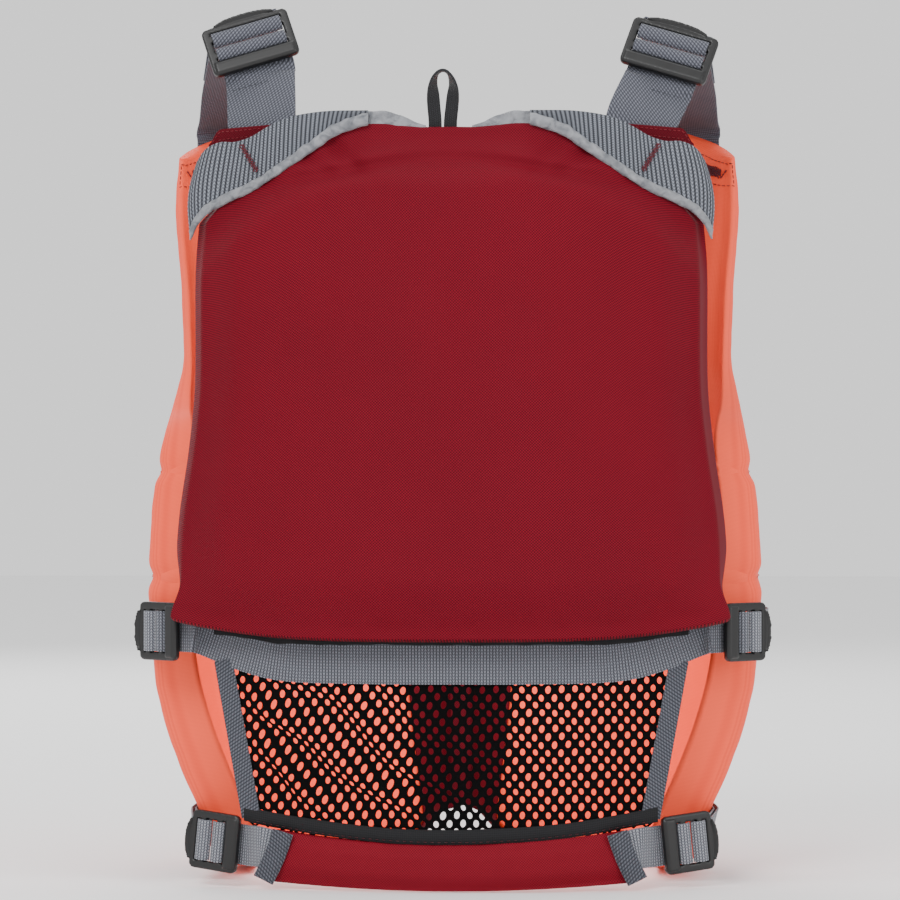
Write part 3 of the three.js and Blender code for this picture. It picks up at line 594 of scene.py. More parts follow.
backLining = gridSheet("backLining", 40, 40, liningPlace, 310, 300)
thicken(backLining, lining["thickness"])
shade(backLining, liningKnit)
settle(backLining, "back", "back_mesh_lining", "back_lining")
print("back panel made")


front = {
    "thickness": 34, "edgeThickness": 7, "zipEdge": 8, "notchHeight": 34, "notchHalfWidth": 42,
    "neckBottom": 330, "neckHalfWidth": 113, "shoulderHeight": 487, "shoulderDrop": 30,
    "sideAngle": 97, "armholeAngle": 79, "armholeBottom": 262, "armholeTop": 330,
    "folds": (191, 261), "foldDepth": 3.2, "plump": 2.4,
}


def frontInnerX(z):
    if z < front["notchHeight"]:
        return lerp(front["notchHalfWidth"], front["zipEdge"], max(z, 0) / front["notchHeight"])
    if z < front["neckBottom"]:
        return front["zipEdge"]
    fall = clamp((front["shoulderHeight"] - z) / (front["shoulderHeight"] - front["neckBottom"]))
    return max(front["zipEdge"], front["neckHalfWidth"] * math.sqrt(1 - fall * fall))


def roundedEdge(distance, reach):
    # rises from 0 at an edge to 1 at its reach, as a stuffed edge does
    return math.sqrt(1 - (1 - clamp(distance / reach)) ** 2)


def frontThicknessAt(u, v):
    acrossEdge = roundedEdge(u, 0.14) * lerp(roundedEdge(1 - u, 0.12), smooth(1 - u, 0, 0.3), 0.5)
    upEdge = roundedEdge(v, 0.05) * lerp(roundedEdge(1 - v, 0.06), smooth(1 - v, 0, 0.22), 0.5)
    return lerp(front["edgeThickness"], front["thickness"], acrossEdge * upEdge)


def frontLowAt(u):
    # the lower back corner is cut away under the hem strap
    return 1.8 + 16 * smooth(u, 0.8, 1) ** 2


def frontUpAt(u, z):
    low, top = frontLowAt(u), front["shoulderHeight"] - front["shoulderDrop"] * u
    return (z - low) / (top - low)


def foldLineAt(i, u):
    return front["folds"][i] + 4 * math.sin(u * 3 + i) - 3 * u


def frontFace(u, v, isOuter):
    top = front["shoulderHeight"] - front["shoulderDrop"] * u
    z = lerp(frontLowAt(u), top, v)
    inner = angleAt(frontInnerX(z), z)
    armhole = smooth(z, front["armholeBottom"], front["armholeTop"])
    angle = lerp(inner, lerp(front["sideAngle"], front["armholeAngle"], armhole), u)
    full = frontThicknessAt(u, v)
    inset = 2.5 * (1 - roundedEdge(u, 0.04) * roundedEdge(1 - u, 0.05)) if isOuter else full
    toward = 1 if isOuter else -1
    # the foam swells between the fold lines, but not under the pocket and the straps
    low, high = (0, front["folds"][0]) if z < front["folds"][0] else (front["folds"][1], top)
    swell = math.sin(math.pi * clamp((z - low) / (high - low))) * smooth(angle, 62, 80)
    swell *= 1 - max(bump(z, 157, 20), bump(z, 31, 20), smooth(z, 440, 460))
    inset -= front["plump"] * swell if isOuter else 0
    arc = angle * 3.1
    for i in range(len(front["folds"])):
        line = foldLineAt(i, u)
        near = bump(z, line, 4.5)
        gather = bump(z, line, 17) * math.sin(arc * 0.42 + 5 * ripple((arc, z, i * 40.0), 24)) * 0.5
        inset += toward * (front["foldDepth"] * near * smooth(u, -0.02, 0.05) + gather)
    wrinkle = 1.3 * ripple((arc, z, 9 * toward), 48, 2.2) + 0.5 * ripple((arc, z * 1.4, 4), 15, 6.1)
    inset += toward * wrinkle
    return outline(angle, z, inset)


frontLeft = paddedShell("frontPanelLeft", 56, 140, frontFace, 300, 487, 2)
shade(frontLeft, coralCloth)
for side, piece in (("left", frontLeft), ("right", mirrored(frontLeft, "frontPanelRight"))):
    parts = ("cover", "lining", "chest_foam", "belt_foam", "waist_foam")
    settle(piece, "front_" + side, "coral_shell", *[f"front_{part}_{side}" for part in parts])
print("front panels made")


# the left facing laps past the middle, to lie under the zip
facing = {
    "start": {"left": -3.4, "right": 2.5}, "width": {"left": 48, "right": 42}, "low": 4, "high": 328,
    "half": [(0, 26), (20, 29), (110, 41), (200, 44), (340, 44)], "lift": 3.4, "lap": 1.6, "thickness": 1,
}


def facingPlace(u, v, start):
    # the dark cloth that backs the zip and the edges beside it
    z = lerp(facing["low"], facing["high"], v)
    if z < front["notchHeight"] - 3:
        start = max(start, frontInnerX(z) + 1)
    x = lerp(start, max(readTable(facing["half"], z), start + 8), u)
    angle, inner = angleAt(abs(x), z), angleAt(frontInnerX(z), z)
    share = clamp((angle - inner) / (front["sideAngle"] - inner))
    under = frontThicknessAt(share, z / front["shoulderHeight"])
    lap = facing["lap"] * smooth(2.2 - x, 0, 1.5)
    point = outline(angle, z, under + facing["lift"] + lap + 0.8 * ripple((x, 0, z), 22, 5.1))
    point.x = math.copysign(point.x, x)
    return point


for side, sign in signs.items():
    def sidePlace(u, v):
        p = facingPlace(u, v, facing["start"][side])
        return Vector((sign * p.x, p.y, p.z))

    piece = gridSheet("zipFacing" + side.title(), 20, 90, sidePlace, 42, 324)
    thicken(piece, facing["thickness"], 0.3)
    shade(piece, redFacing)
    settle(piece, "front_" + side, "maroon_shell")


def shoulderSpot(share, v, sign):
    # on the inner face at the shoulder, then round its outer edge
    if share < 0.5:
        point = frontFace(lerp(0.6, 0.99, share / 0.5), v, False) + Vector((0, 0.9, 0))
    else:
        point = frontFace(1, v, False).lerp(frontFace(1, v, True), (share - 0.5) * 1.5)
        point += Vector((0.8, 2.2, 0)) * math.sin(math.pi * (share - 0.5) * 1.5) + Vector((0, 0.9, 0))
    return Vector((sign * point.x, point.y, point.z))


# the box of stitches round the shoulder strap's foot, as shares of the panel's width and height
shoulderBox = {"inner": 0.05, "outer": 0.95, "low": 0.958, "high": 0.99}

for side, sign in signs.items():
    rows = []
    for i in range(len(front["folds"])):
        line = []
        for k in range(31):
            u = 0.02 + 0.96 * k / 30
            point = frontFace(u, frontUpAt(u, foldLineAt(i, u)), True)
            point += Vector((point.x, point.y, 0)).normalized() * 1.2
            line.append(Vector((sign * point.x, point.y, point.z)))
        rows.append(stitchRow(f"frontStitches{i}{side.title()}", line, orangeThread, 2.4, 1.5, 0.6))
    inner, outer, low, high = shoulderBox.values()
    box = [(inner, low), (outer, low), (outer, high), (inner, high), (inner, low)]
    line = []
    for (s0, v0), (s1, v1) in zip(box, box[1:]):
        line += [shoulderSpot(lerp(s0, s1, k / 8), lerp(v0, v1, k / 8), sign) for k in range(8)]
    rows.append(stitchRow("shoulderBox" + side.title(), line, darkThread, 2.2, 1.0, 0.6))
    zigzag = [shoulderSpot(lerp(0.12, 0.5, k / 40), 0.975 + 0.006 * (-1) ** k, sign) for k in range(41)]
    rows.append(stitchRow("shoulderTack" + side.title(), zigzag, tackThread, 2.2, 0.1, 1.0))
    for row in rows:
        settle(row, "front_" + side, "coral_shell")


# the bars' edges along the strap, then each loop's middle and reach
adjuster = {
    "nearBar": (-14.75, -6.2), "slidingBarEnd": 11.35, "farBar": (14.5, 17),
    "fixedLoop": (-1.1, 3.9), "slidingLoop": (9.3, 4.3), "loopRadius": 3.2,
    "strapDepth": 5, "loadDepth": 6.8, "tailDepth": 4.7,
}
webbing = {"thickness": 1.2, "shoulderWidth": 44, "sideWidth": 25, "bindingWidth": 12.5}
shoulder = {
    "places": {"left": (124, 72, 520), "right": (134, 72, 514)},
    "facing": (0, 0.93, 0.37), "along": (0.29, 0, 0.957), "footLean": -0.34,
    "frontFoot": (150, 466), "backFoot": (116, 462),
}
waist = {"height": 157, "drop": 18, "fromSide": 12, "depth": 70, "facing": 42, "rise": 0}
hem = {"height": 28, "fromSide": 13, "depth": 82, "facing": 24, "rise": 6}


def seat(place, facing, along):
    # local y runs along the strap to the lift tab, and local z out of the jacket
    out = Vector(facing).normalized()
    ahead = Vector(along)
    ahead = (ahead - ahead.dot(out) * out).normalized()
    return {
        "across": ahead.cross(out),
        "at": lambda y, z: Vector(place) + ahead * y + out * z,
    }


def sideSeat(spot):
    turn, rise = math.radians(spot["facing"]), math.radians(spot["rise"])
    place = (halfWidthAt(spot["height"]) - spot["fromSide"], spot["depth"], spot["height"])
    along = (math.cos(turn), -math.sin(turn), math.tan(rise))
    return seat(place, (math.sin(turn), math.cos(turn), 0), along)


def shoulderSeat(side):
    return seat(shoulder["places"][side], shoulder["facing"], shoulder["along"])


seats = {"waist": sideSeat(waist), "hem": sideSeat(hem)}


def seatOf(kind, side):
    return shoulderSeat(side) if kind == "shoulder" else seats[kind]


softening = {"voxel": 0.5, "rounds": 4, "regrowth": 0.55}


def softenedCopy(name, node):
    # the CAD frame's corners, rounded as a moulded part's are
    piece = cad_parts[node].copy()
    piece.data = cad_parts[node].data.copy()
    piece.name = piece.data.name = name
    piece.hide_render = False
    bpy.context.collection.objects.link(piece)
    return finish(
        piece,
        ("REMESH", {"mode": "VOXEL", "voxel_size": softening["voxel"] * mm, "use_smooth_shade": True}),
        ("SMOOTH", {"factor": 0.5, "iterations": softening["rounds"]}),
        ("DISPLACE", {"strength": softening["regrowth"] * mm, "mid_level": 0}),
    )


for place in ("shoulder", "waist", "hem"):
    for side in ("left", "right"):
        node = f"{place}_adjuster_{side}"
        piece = softenedCopy(f"{place}Buckle{side.title()}", node)
        shade(piece, acetal)
        settle(piece, node, "black_plastic", node)
print("adjusters made")


def overBar(place, loop, start, end, steps=8):
    # a flattened turn over a bar: its middle and its reach along the strap
    middle, reach = loop
    stations = []
    for i in range(steps + 1):
        a = math.radians(lerp(start, end, i / steps))
        spot = place["at"](middle + reach * math.cos(a), adjuster["loopRadius"] * math.sin(a))
        stations.append((spot, place["across"]))
    return stations


def sewnLoop(place):
    depth = -adjuster["strapDepth"]
    return [
        (place["at"](adjuster["nearBar"][0] - 4, depth), place["across"]),
        (place["at"](adjuster["nearBar"][1] - 1.5, depth), place["across"]),
        *overBar(place, adjuster["fixedLoop"], 190, 0),
    ]


def tiltWith(strap, kind, side, turned):
    # the spots just before and past the near bar are worked out but not used, and the strap's placement
    # is baked into its mesh
    spots = [(adjuster["nearBar"][0] - 8, "start"), (adjuster["nearBar"][1] - 1, "end")]
    stations = [(seatOf(kind, side)["at"](along, -adjuster["strapDepth"]), up) for along, _ in spots]
    start, end = (spot * mm for spot, _ in turned(stations))
    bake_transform(strap)


def pulledLoop(place):
    load, tail = -adjuster["loadDepth"], -adjuster["tailDepth"]
    return [
        (place["at"](adjuster["farBar"][1] + 2, load - 1.5), place["across"]),
        (place["at"](adjuster["slidingBarEnd"] - 1, load), place["across"]),
        *overBar(place, adjuster["slidingLoop"], 195, 0),
        (place["at"](adjuster["farBar"][0] + 0.8, tail), place["across"]),
        (place["at"](adjuster["farBar"][1] + 4, tail - 0.4), place["across"]),
    ]


def mirroredStations(stations):
    return [(Vector((-p.x, p.y, p.z)), Vector((-a.x, a.y, a.z))) for p, a in stations]


def bothSides(build):
    # a strap is laid out on the left, and turned over for the right
    for side in signs:
        build(side, list if side == "left" else mirroredStations)


def turnedSpot(turned, point):
    return (turned([(point, up)])[0][0] * mm)[:]


def backStraps(side, turned):
    x, z = shoulder["backFoot"]
    leftward = backPoint(x - 10, z) - backPoint(x + 10, z)
    foot = backPoint(x, z, 0.5)
    stations = [
        (foot + Vector((0, 0, -14)), leftward),
        (foot + Vector((0, -1, 6)), leftward),
        *[(p, -a if a.dot(leftward) < 0 else a) for p, a in sewnLoop(shoulderSeat(side))],
    ]
    name = "shoulderStrapBack" + side.title()
    strap = webbingStrip(name, turned(stations), webbing["shoulderWidth"], webbing["thickness"], 12, 1.5)
    shade(strap, shoulderWebbing, 40)
    settle(strap, None, "grey_webbing", "shoulder_strap_back_" + side)
    tiltWith(strap, "shoulder", side, turned)
    place = shoulderSeat(side)
    middle = place["at"](adjuster["nearBar"][0] - 11, 2.1 - adjuster["strapDepth"])
    row = [p for p, _ in turned([(middle + place["across"] * k * 3.4, up) for k in range(-6, 7)])]
    stitches = stitchRow("strapStitches" + side.title(), row, greyThread, 2.0, 1.2, 0.6)
    settle(stitches, "back", "grey_webbing")


bothSides(backStraps)


frontStraps = {
    "shoulder": {
        "width": webbing["shoulderWidth"], "columns": 10, "step": 2, "slot": "dark_grey_webbing",
        "strap": darkWebbing, "wrap": shoulderWebbing,
    },
    "side": {
        "width": webbing["sideWidth"], "columns": 8, "step": 1.8, "slot": "grey_webbing",
        "strap": sideWebbing, "wrap": sideWebbing,
    },
}


def frontStrap(kind, side, cloth, run, tail, around):
    # run and tail are joined into one piece, and the wrap is attached to the adjuster
    def strip(part, stations, step):
        name = kind + part + side.title()
        return webbingStrip(name, stations, cloth["width"], webbing["thickness"], cloth["columns"], step)

    strap = strip("StrapFront", run, cloth["step"])
    selectOnly(strap, strip("StrapTail", tail, cloth["step"]))
    bpy.ops.object.join()
    shade(strap, cloth["strap"], 40)
    settle(strap, None, cloth["slot"], f"{kind}_strap_front_{side}")
    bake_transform(strap)
    wrap = strip("Wrap", around, 1.2)
    shade(wrap, cloth["wrap"], 40)
    settle(wrap, f"{kind}_adjuster_{side}", cloth["slot"])


def frontShoulderStrap(side, turned):
    place = shoulderSeat(side)
    x, z = shoulder["frontFoot"]
    angle = angleAt(x, z)
    inward = (outline(angle - 8, z) - outline(angle + 8, z)).normalized()
    ax, ay, az = shoulder["places"][side]
    footY = outline(angle, z).y + shoulder["footLean"]

    def overShoulder(share, lift):
        return Vector((
            lerp(ax, x, share), lerp(ay, footY, share),
            lerp(az + 19, z + 12, share) + 9 * math.sin(math.pi * share) + lift,
        ))

    def foot(height, lift):
        return outline(angle, height, -lift)

    run = [
        (foot(z - 22, 2), inward), (foot(z, 2.2), inward), (foot(z + 11, 2.4), inward),
        (overShoulder(0.92, 0), inward), (overShoulder(0.72, 0), inward),
        (overShoulder(0.3, 0), place["across"]), pulledLoop(place)[0],
    ]
    tail = [
        pulledLoop(place)[-1], (overShoulder(0.25, 4), place["across"]),
        (overShoulder(0.45, 4), inward), (overShoulder(0.66, 3.6), inward),
    ]
    crossing = [turnedSpot(turned, overShoulder(share, 0)) for share in (0.1, 0.85)]
    cloth = frontStraps["shoulder"]
    frontStrap("shoulder", side, cloth, turned(run), turned(tail), turned(pulledLoop(place)))


bothSides(frontShoulderStrap)


def sideStrap(kind, spot, lift):
    def build(side, turned):
        place = seats[kind]
        z = spot["height"] + lift

        def overPanel(angle, away):
            upPanel = outline(angle, z + 12) - outline(angle, z - 12)
            return outline(angle, z, -away), upPanel.normalized()

        run = [overPanel(68, 1.6), overPanel(80, 1.6), overPanel(92, 1.8), pulledLoop(place)[0]]
        tail = [pulledLoop(place)[-1], overPanel(91, 4.6), overPanel(80, 4), overPanel(70, 3.8)]
        crossing = [turnedSpot(turned, p) for p in (pulledLoop(place)[0][0], overPanel(95, 1.6)[0])]
        cloth = frontStraps["side"]
        frontStrap(kind, side, cloth, turned(run), turned(tail), turned(pulledLoop(place)))

    return build


bothSides(sideStrap("waist", waist, 0))
bothSides(sideStrap("hem", hem, 3))


def beltEnd():
    place = seats["waist"]
    return place["at"](adjuster["nearBar"][0] - 10, -adjuster["strapDepth"]), place["across"]


def waistBelt():
    low = waist["height"] - waist["drop"]
    route = [(152, waist["height"] - 2), (128, low + 7), (100, low + 1), (50, low), (0, low)]
    left = [beltEnd()] + [(backPoint(x, z, 2.2), up) for x, z in route]
    right = [(Vector((-p.x, p.y, p.z)), a) for p, a in reversed(left[:-1])]
    belt = webbingStrip("waistBelt", left + right, webbing["sideWidth"], webbing["thickness"], 10, 1.8)
    shade(belt, beltWebbing, 40)
    settle(belt, "back", "grey_webbing", "waist_belt")


waistBelt()


def waistTurn(side, turned):
    # the belt's end: from where the belt stops, under the near bar and over the fixed one
    stations = turned([beltEnd(), *sewnLoop(seats["waist"])])
    turn = webbingStrip(
        "waistTurn" + side.title(), stations, webbing["sideWidth"], webbing["thickness"], 10, 1.4
    )
    shade(turn, beltWebbing, 40)
    settle(turn, None, "grey_webbing")
    tiltWith(turn, "waist", side, turned)


bothSides(waistTurn)


trim = {"half": 146, "bottom": 150.5, "height": 7, "endRise": 5, "lift": 3.4}


def beltTrim():
    # the net's black binding shows between the belt and the panel above it
    def place(u, v):
        x = lerp(-trim["half"], trim["half"], u)
        rise = trim["endRise"] * smooth(abs(x), 100, trim["half"])
        z = trim["bottom"] + trim["height"] * v + rise + 0.7 * ripple((x, 0, v * 6), 9, 2.2)
        return backPoint(x, z, trim["lift"] + 0.9 * ripple((x, 0, z), 8, 6.6))

    piece = gridSheet("beltTrim", 150, 5, place, 2 * trim["half"], trim["height"])
    thicken(piece, 0.8, 0.25)
    shade(piece, blackBand)
    settle(piece, "back", "black_mesh")


beltTrim()
print("straps made")


lower = {
    "top": 172, "bottom": 36, "topHalf": 147, "bottomHalf": 122,
    "band": {"height": 9, "middle": 33.5, "rise": 12.5, "half": 127},
    "hem": {"topHalf": 107, "bottomHalf": 113, "bottomRise": 5.7},
}
net = {
    "across": 8, "rise": 4.8, "hole": (1.7, 2.25), "corner": 0.733, "thickness": 0.7,
    "edgeHeights": (44, 60, 80, 100, 120, 140), "edgeLift": 2.2,
}


def bandMiddleAt(x):
    band = lower["band"]
    return band["middle"] + band["rise"] * (x / band["half"]) ** 2


def meshHalfAt(z):
    v = clamp((z - lower["bottom"]) / (lower["top"] - lower["bottom"]))
    return lerp(lower["bottomHalf"], lower["topHalf"], v)


def netPoint(x, z):
    # slack cloth: slanting folds, deepest on the wearer's left, that press the holes together
    low, high = bandMiddleAt(x), lower["top"] - 30
    room = smooth(z, low, low + 24) * smooth(high - z, 0, 22) * smooth(meshHalfAt(z) - abs(x), 6, 24)
    weight = lerp(0.55, 1, smooth(x, -60, 70))
    across = 0.6 * x - 0.8 * z + 9 * ripple((x, 0, z), 45, 5.5)
    fold = math.sin(across / 4.2) * (0.5 + 0.5 * ripple((x, 3, z), 30, 1.4)) * weight * room
    press = 2.6 * math.cos(across / 4.2) * weight * room * (0.4 + 0.6 * bump(across, 0, 60))
    lift = 0.4 + 2.6 * room * fold + 1.6 * ripple((x, 7, z), 38, 4.4) * room
    return backPoint(x + 0.6 * press, z - 0.8 * press, lift)


def netPanel():
    corner = net["corner"]
    reach = net["rise"] - corner
    half = net["across"] / 2
    upperCorners = [(half, corner), (0, reach), (-half, corner)]
    corners = upperCorners + [(-x, -z) for x, z in upperCorners]
    ovals = [math.radians(15 + 30 * k) for k in range(12)]
    shape = bmesh.new()
    rows = int((lower["top"] - lower["bottom"]) / net["rise"]) + 2
    for row in range(rows):
        z = lower["bottom"] - 4 + row * net["rise"]
        shift = half if row % 2 else 0
        for column in range(-19, 20):
            x = column * net["across"] + shift
            if abs(x) > meshHalfAt(z) - 2 or z < bandMiddleAt(x) - 5 or z > lower["top"]:
                continue
            size = 1 + 0.07 * ripple((x, 0, z), 12, 2.0)
            outer = [shape.verts.new(netPoint(x + a, z + b) * mm) for a, b in corners]
            holeWide, holeHigh = (radius * size for radius in net["hole"])
            inner = [
                shape.verts.new(netPoint(x + holeWide * math.cos(a), z + holeHigh * math.sin(a)) * mm)
                for a in ovals
            ]
            for k, (first, last) in enumerate(((0, 2), (3, 5), (5, 6), (6, 8), (9, 11), (11, 12))):
                ring = [inner[i % 12] for i in range(last, first - 1, -1)]
                shape.faces.new([outer[k], outer[(k + 1) % 6], *ring])
            for k, (a, b) in ((1, (2, 3)), (4, (8, 9))):
                shape.faces.new([outer[k], inner[b], inner[a]])
    bmesh.ops.remove_doubles(shape, verts=shape.verts, dist=0.02 * mm)
    bmesh.ops.recalc_face_normals(shape, faces=shape.faces)
    data = bpy.data.meshes.new("netPanel")
    shape.to_mesh(data)
    shape.free()
    panel = bpy.data.objects.new("netPanel", data)
    bpy.context.collection.objects.link(panel)
    finish(panel, ("SOLIDIFY", {"thickness": net["thickness"] * mm, "offset": 0}))
    shade(panel, netKnit, 50)
    settle(panel, "back", "black_mesh", "mesh_panel")


netPanel()


def edgeStrips(side, turned):
    stations = [
        (backPoint(meshHalfAt(z) - 1, z, net["edgeLift"]), Vector((1, -0.33, 0)))
        for z in net["edgeHeights"]
    ]
    name = "meshEdge" + side.title()
    strip = webbingStrip(name, turned(stations), webbing["bindingWidth"], 0.9, 6, 1.8, 0.4)
    shade(strip, edgeWebbing, 40)
    settle(strip, "back", "grey_webbing", "mesh_edge_" + side)


bothSides(edgeStrips)


def lowerBand():
    band = lower["band"]

    def place(u, v):
        x = (2 * u - 1) * band["half"]
        roll = 1 - (2 * v - 1) ** 2
        lift = 2.0 + 1.5 * roll + 0.25 * ripple((x, 0, v * 10), 12, 3.3)
        z = bandMiddleAt(x) + (v - 0.5) * band["height"] + 0.5 * ripple((x, 0, 0), 24, 7.7)
        return backPoint(x, z, lift)

    piece = gridSheet("lowerBand", 120, 6, place, 2 * band["half"], band["height"])
    thicken(piece, 0.9, 0.3)
    shade(piece, blackBand, 50)
    settle(piece, "back", "black_mesh", "lower_band")
    line = [backPoint(x, bandMiddleAt(x) - 3.0, 3.6) for x in range(-120, 121, 8)]
    settle(stitchRow("bandStitches", line, darkThread, 2.0, 2.2, 0.4), "back", "maroon_shell")


lowerBand()


def hemFace(u, v, isOuter):
    facing = lower["hem"]
    side = 2 * u - 1
    x = side * lerp(facing["bottomHalf"], facing["topHalf"], v)
    bottom = facing["bottomRise"] * side * side
    top = bandMiddleAt(x) - lower["band"]["height"] / 2 - 0.3
    z = lerp(bottom + (0.4 if isOuter else 0), top, v)
    if not isOuter:
        return backPoint(x, z, 0.9)
    crown = smooth(v, 0, 0.35) * smooth(1 - v, 0, 0.3) * smooth(1 - abs(side), 0, 0.06)
    pucker = math.sin(x * 0.34 + 4 * ripple((x, 0, 0), 26)) * bump(v, 0.95, 0.3)
    return backPoint(x, z, 2.6 + 3.0 * crown + 0.55 * pucker + 0.7 * ripple((x, 0, z), 34, 2.7))


hemPanel = paddedShell("hemPanel", 90, 14, hemFace, 226, 30, 1)
# the hem wears the lighter copy of the red twill, whose lighter colour is painted sheen
shade(hemPanel, hemTwillPaintedSheen)
settle(hemPanel, "back", "maroon_shell", "hem_panel")


# the slanted tape that closes each end of the hem, with its line of stitches
hemEdgeTape = {
    "width": 13, "thickness": 1, "lift": 8.2, "route": [(102, 36), (105, 27), (109, 17), (114.5, 6)],
    "stitchLift": 9.1, "stitchInset": 5.2, "stitchRoute": [(102.5, 34), (105, 27), (109, 17), (113.5, 8)],
}


def hemStrap(side, turned):
    facing = lower["hem"]
    start = (facing["topHalf"] + facing["bottomHalf"]) / 2 - 4
    stations = [
        (backPoint(start, hem["height"] - 4.5, 6.6), up),
        (backPoint(116, hem["height"] - 2, 5.8), up),
        *sewnLoop(seats["hem"]),
    ]
    label = side.title()
    tape = hemEdgeTape
    slanted = [(backPoint(x, z, tape["lift"]), Vector((1, 0, 0.35))) for x, z in tape["route"]]
    edge = webbingStrip("hemEdge" + label, turned(slanted), tape["width"], tape["thickness"], 6, 1.6, 0.5)
    shade(edge, edgeWebbing, 40)
    settle(edge, "back", "grey_webbing")
    inset, lift = tape["stitchInset"], tape["stitchLift"]
    line = [(backPoint(x - inset, z, lift), up) for x, z in tape["stitchRoute"]]
    row = stitchRow("hemEdgeStitches" + label, [p for p, _ in turned(line)], greyThread, 1.8, 0.9, 0.5)
    settle(row, "back", "grey_webbing")
    name = "hemStrapBack" + label
    strap = webbingStrip(name, turned(stations), webbing["sideWidth"], webbing["thickness"], 8, 1.6)
    shade(strap, sideWebbing, 40)
    settle(strap, None, "grey_webbing", "hem_strap_back_" + side)
    tiltWith(strap, "hem", side, turned)


bothSides(hemStrap)
print("lower back made")


yoke = {
    "topEdge": [
        (49, 474.5), (75, 474.8), (96, 472), (110, 466.5), (121, 460.5), (131, 457.5), (141, 457.5),
        (150, 453.5), (155.5, 446),
    ],
    "seam": [
        (49, 473.5), (69, 467), (86, 455.5), (103, 444), (119.5, 433.5), (135, 426.5), (147, 421),
        (156, 413), (160.5, 404),
    ],
    "hem": [
        (49, 466.5), (67, 461), (83, 450.8), (100, 440), (117.5, 429), (133, 422), (145, 416.5),
        (154, 409), (160, 398),
    ],
    "thickness": 1.2, "aboveCover": 1.6, "endBulge": 3,
}


def overCover(x, z, lift):
    side = clamp(abs(x) / readTable(back["halfWidths"], z))
    v = clamp((z - backBottomAt(side)) / (backTopAt(side) - backBottomAt(side)))
    point = backPoint(abs(x), z, back["standOff"] + backThicknessAt(side, v) + lift)
    return Vector((x, point.y, z))


def edgeLine(rows):
    return evenPath([Vector((x, 0, z)) for x, z in rows])[0]


topEdge, seamEdge, hemEdge = (edgeLine(yoke[name]) for name in ("topEdge", "seam", "hem"))


neckBinding = {"from": 14, "to": 58, "lift": 6.5, "thickness": 1.6}
yokeTack = {"high": (127.5, 455.5), "low": (117.5, 439), "swing": 1, "lift": 4.6, "count": 26}
tab = {"from": 96, "to": 149, "low": 446, "high": 469, "lift": 7.2, "thickness": 1.4}


def yokePieces(side, sign):
    label = side.title()

    def webbingPlace(u, v):
        p = seamEdge(u)[0].lerp(topEdge(u)[0], v)
        p.x += yoke["endBulge"] * math.sin(math.pi * v) * smooth(u, 0.75, 1)
        sag = 1.1 * ripple((p.x, 0, p.z), 18, 5.0) + 0.8 * (1 - (2 * v - 1) ** 2)
        point = overCover(p.x, p.z, yoke["aboveCover"] + 0.6 + sag)
        return Vector((sign * point.x, point.y, point.z))

    def satinPlace(u, v):
        low, high = hemEdge(u)[0], seamEdge(u)[0]
        p = low.lerp(high, v * 1.06)
        crumple = 1.0 * ripple((p.x * 1.3, 0, p.z), 7, 9.0) + 0.6 * ripple((p.x, 0, p.z), 3.2, 4.0)
        roll = 1.9 * math.sqrt(max(0, 1 - (2 * v - 1) ** 2))
        point = overCover(p.x, p.z, yoke["aboveCover"] + 0.3 + roll + 0.8 * crumple)
        return Vector((sign * point.x, point.y, point.z + 0.5 * crumple))

    band = gridSheet("yoke" + label, 90, 14, webbingPlace, 128, 32)
    thicken(band, yoke["thickness"], 0.4)
    shade(band, yokeWebbing, 50)
    settle(band, "back", "grey_webbing", "shoulder_yoke_" + side)
    binding = gridSheet("yokeBinding" + label, 120, 10, satinPlace, 140, 11)
    thicken(binding, 0.9, 0.3)
    shade(binding, satin)
    settle(binding, "back", "satin_binding", "yoke_binding_" + side)

    def neckPlace(u, v):
        x = lerp(neckBinding["from"], neckBinding["to"], u)
        z = lerp(461.5, 465, smooth(x, 12, 30)) + lerp(4.5, 10, smooth(x, 13, 44)) * v
        crumple = 0.8 * ripple((x, 0, z * 2), 9, 3.0)
        depth = backPoint(x, z, back["standOff"] + neckBinding["lift"] + crumple).y
        return Vector((sign * x, depth, z + crumple))

    neck = gridSheet("neckBinding" + label, 60, 12, neckPlace, 44, 9)
    thicken(neck, neckBinding["thickness"], 0.5)
    shade(neck, satin)
    settle(neck, "back", "satin_binding")

    tack = []
    (highX, highZ), (lowX, lowZ) = yokeTack["high"], yokeTack["low"]
    for k in range(yokeTack["count"] + 1):
        share, over = k / yokeTack["count"], yokeTack["swing"] * (-1) ** k
        x, z = lerp(highX, lowX, share) + over, lerp(highZ, lowZ, share) - 0.6 * over
        point = overCover(x, z, yokeTack["lift"])
        tack.append(Vector((sign * point.x, point.y, point.z)))
    settle(stitchRow("yokeTack" + label, tack, tackThread, 2.0, 0.05, 0.9), "back", "maroon_shell")

    def tabPlace(u, v):
        x = lerp(tab["from"], tab["to"], u)
        z = lerp(tab["low"] - 8 * u, tab["high"] - 3 * u - 9 * smooth(u, 0.82, 1) ** 2, v)
        lift = tab["lift"] - 1.5 * v + 0.4 * ripple((x, 0, z), 15, 2.0)
        return Vector((sign * x, backPoint(x, z, lift).y, z))

    cloth = gridSheet("shoulderTab" + label, 30, 14, tabPlace, tab["to"] - tab["from"], 24)
    thicken(cloth, tab["thickness"], 0.4)
    shade(cloth, redFacing)
    settle(cloth, "back", "maroon_shell", "shoulder_tab_" + side)
    for k in range(2):
        line = [tabPlace((i + 0.5) / 12, 0.93 - 0.17 * k) + Vector((0, 0.9, 0)) for i in range(12)]
        row = stitchRow(f"tabStitches{k}{label}", line, redThread, 1.8, 1.1, 0.6)
        settle(row, "back", "maroon_shell")


for side, sign in signs.items():
    yokePieces(side, sign)


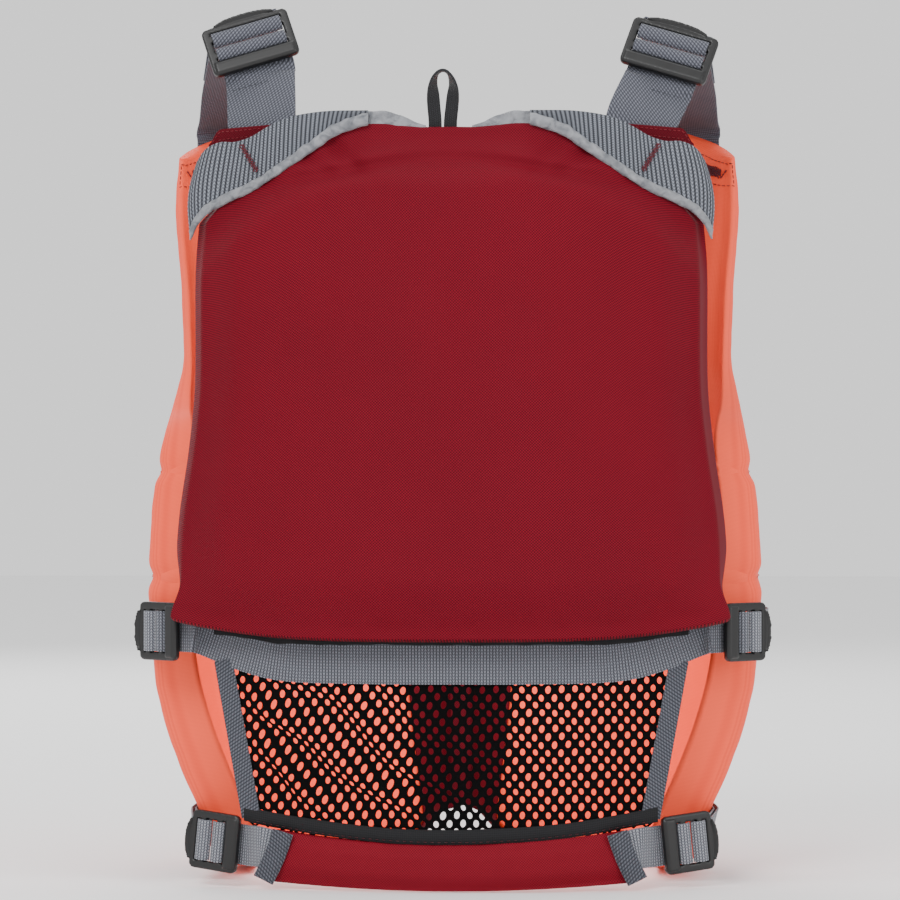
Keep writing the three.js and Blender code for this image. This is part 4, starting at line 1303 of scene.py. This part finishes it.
# places round the loop, from its left foot to its right one, with the way its width faces
hanger = {
    "foot": 465, "depth": 115.1, "width": 8, "thickness": 1.5,
    "route": [
        ((8.6, -4), (1, 0)), ((8.6, 4), (1, 0)), ((9.6, 16), (1, 0.25)), ((9.8, 26), (0.5, 0.8)),
        ((7.6, 32.5), (0.1, 1)), ((3.8, 34.6), (0, 1)), ((0.2, 32.5), (-0.1, 1)),
        ((-2.2, 26), (-0.5, 0.8)), ((-2, 16), (-1, 0.25)), ((-0.8, 4), (-1, 0)), ((-0.8, -4), (-1, 0)),
    ],
}


def hangLoop():
    stations = [
        (Vector((x, hanger["depth"], hanger["foot"] + z)), Vector((ax, ay, 0)))
        for (x, z), (ax, ay) in hanger["route"]
    ]
    strip = webbingStrip("hangLoop", stations, hanger["width"], hanger["thickness"], 6, 0.8)
    shade(strip, blackWebbing, 40)
    settle(strip, "hang_loop", "black_webbing", "hang_loop")


hangLoop()
print("yokes and neck made")


pocket = {
    "bottom": 52, "top": 168, "topDrop": 14, "startAngle": 26, "endAngle": 66,
    "thickness": 9, "edge": 2.5, "under": 1.2,
}


def pocketFace(u, v, isOuter):
    z = lerp(pocket["bottom"], pocket["top"] - pocket["topDrop"] * smooth(u, 0.3, 1), v)
    angle = lerp(pocket["startAngle"], pocket["endAngle"], u)
    if not isOuter:
        return outline(angle, z, -pocket["under"])
    puff = smooth(u, 0, 0.3) * smooth(1 - u, 0, 0.3) * smooth(v, 0, 0.3) * smooth(1 - v, 0, 0.3)
    crease = ripple((angle * 3, z, 5), 26, 3.7) + 0.5 * ripple((angle * 3, z, 2), 11, 1.1)
    proud = lerp(pocket["edge"], pocket["thickness"], puff)
    return outline(angle, z, -pocket["under"] - proud - 0.8 * crease)


pocketLeft = paddedShell("pocketLeft", 40, 36, pocketFace, 120, 116, 1)
shade(pocketLeft, coralCloth)
for side, piece in (("left", pocketLeft), ("right", mirrored(pocketLeft, "pocketRight"))):
    settle(piece, "front_" + side, "coral_shell", "pocket_" + side)
    steps = [k / 12 for k in range(1, 12)]
    border = []
    for u, v in [(k, 0.04) for k in steps] + [(0.97, k) for k in steps] + [(1 - k, 0.96) for k in steps]:
        point = pocketFace(u, v, True)
        point += Vector((point.x, point.y, 0)).normalized() * 0.5
        border.append(Vector((signs[side] * point.x, point.y, point.z)))
    row = stitchRow("pocketStitches" + side.title(), border, orangeThread, 2.4, 1.3, 0.5)
    settle(row, "front_" + side, "coral_shell")


def dress(material, *nodes):
    for node in nodes:
        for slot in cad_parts[node].material_slots:
            slot.material = material


for side in ("left", "right"):
    dress(tapeCloth, "zip_tape_" + side)
    dress(zipPlastic, "zip_teeth_" + side, "pocket_zip_" + side)
    dress(acetal, "pocket_zip_slider_" + side, "pocket_zip_pull_" + side)
dress(acetal, "main_zip_slider", "main_zip_pull")
print("zips and pockets made")


bpy.ops.mesh.primitive_plane_add(size=12, location=(0, 0, 0))
floor = bpy.context.object
floor.name = "floor"
floorMaterial, floorTree, floorShader = newMaterial("paleFloor", 0xF4F4F4, 0.9)
shade(floor, floorMaterial)
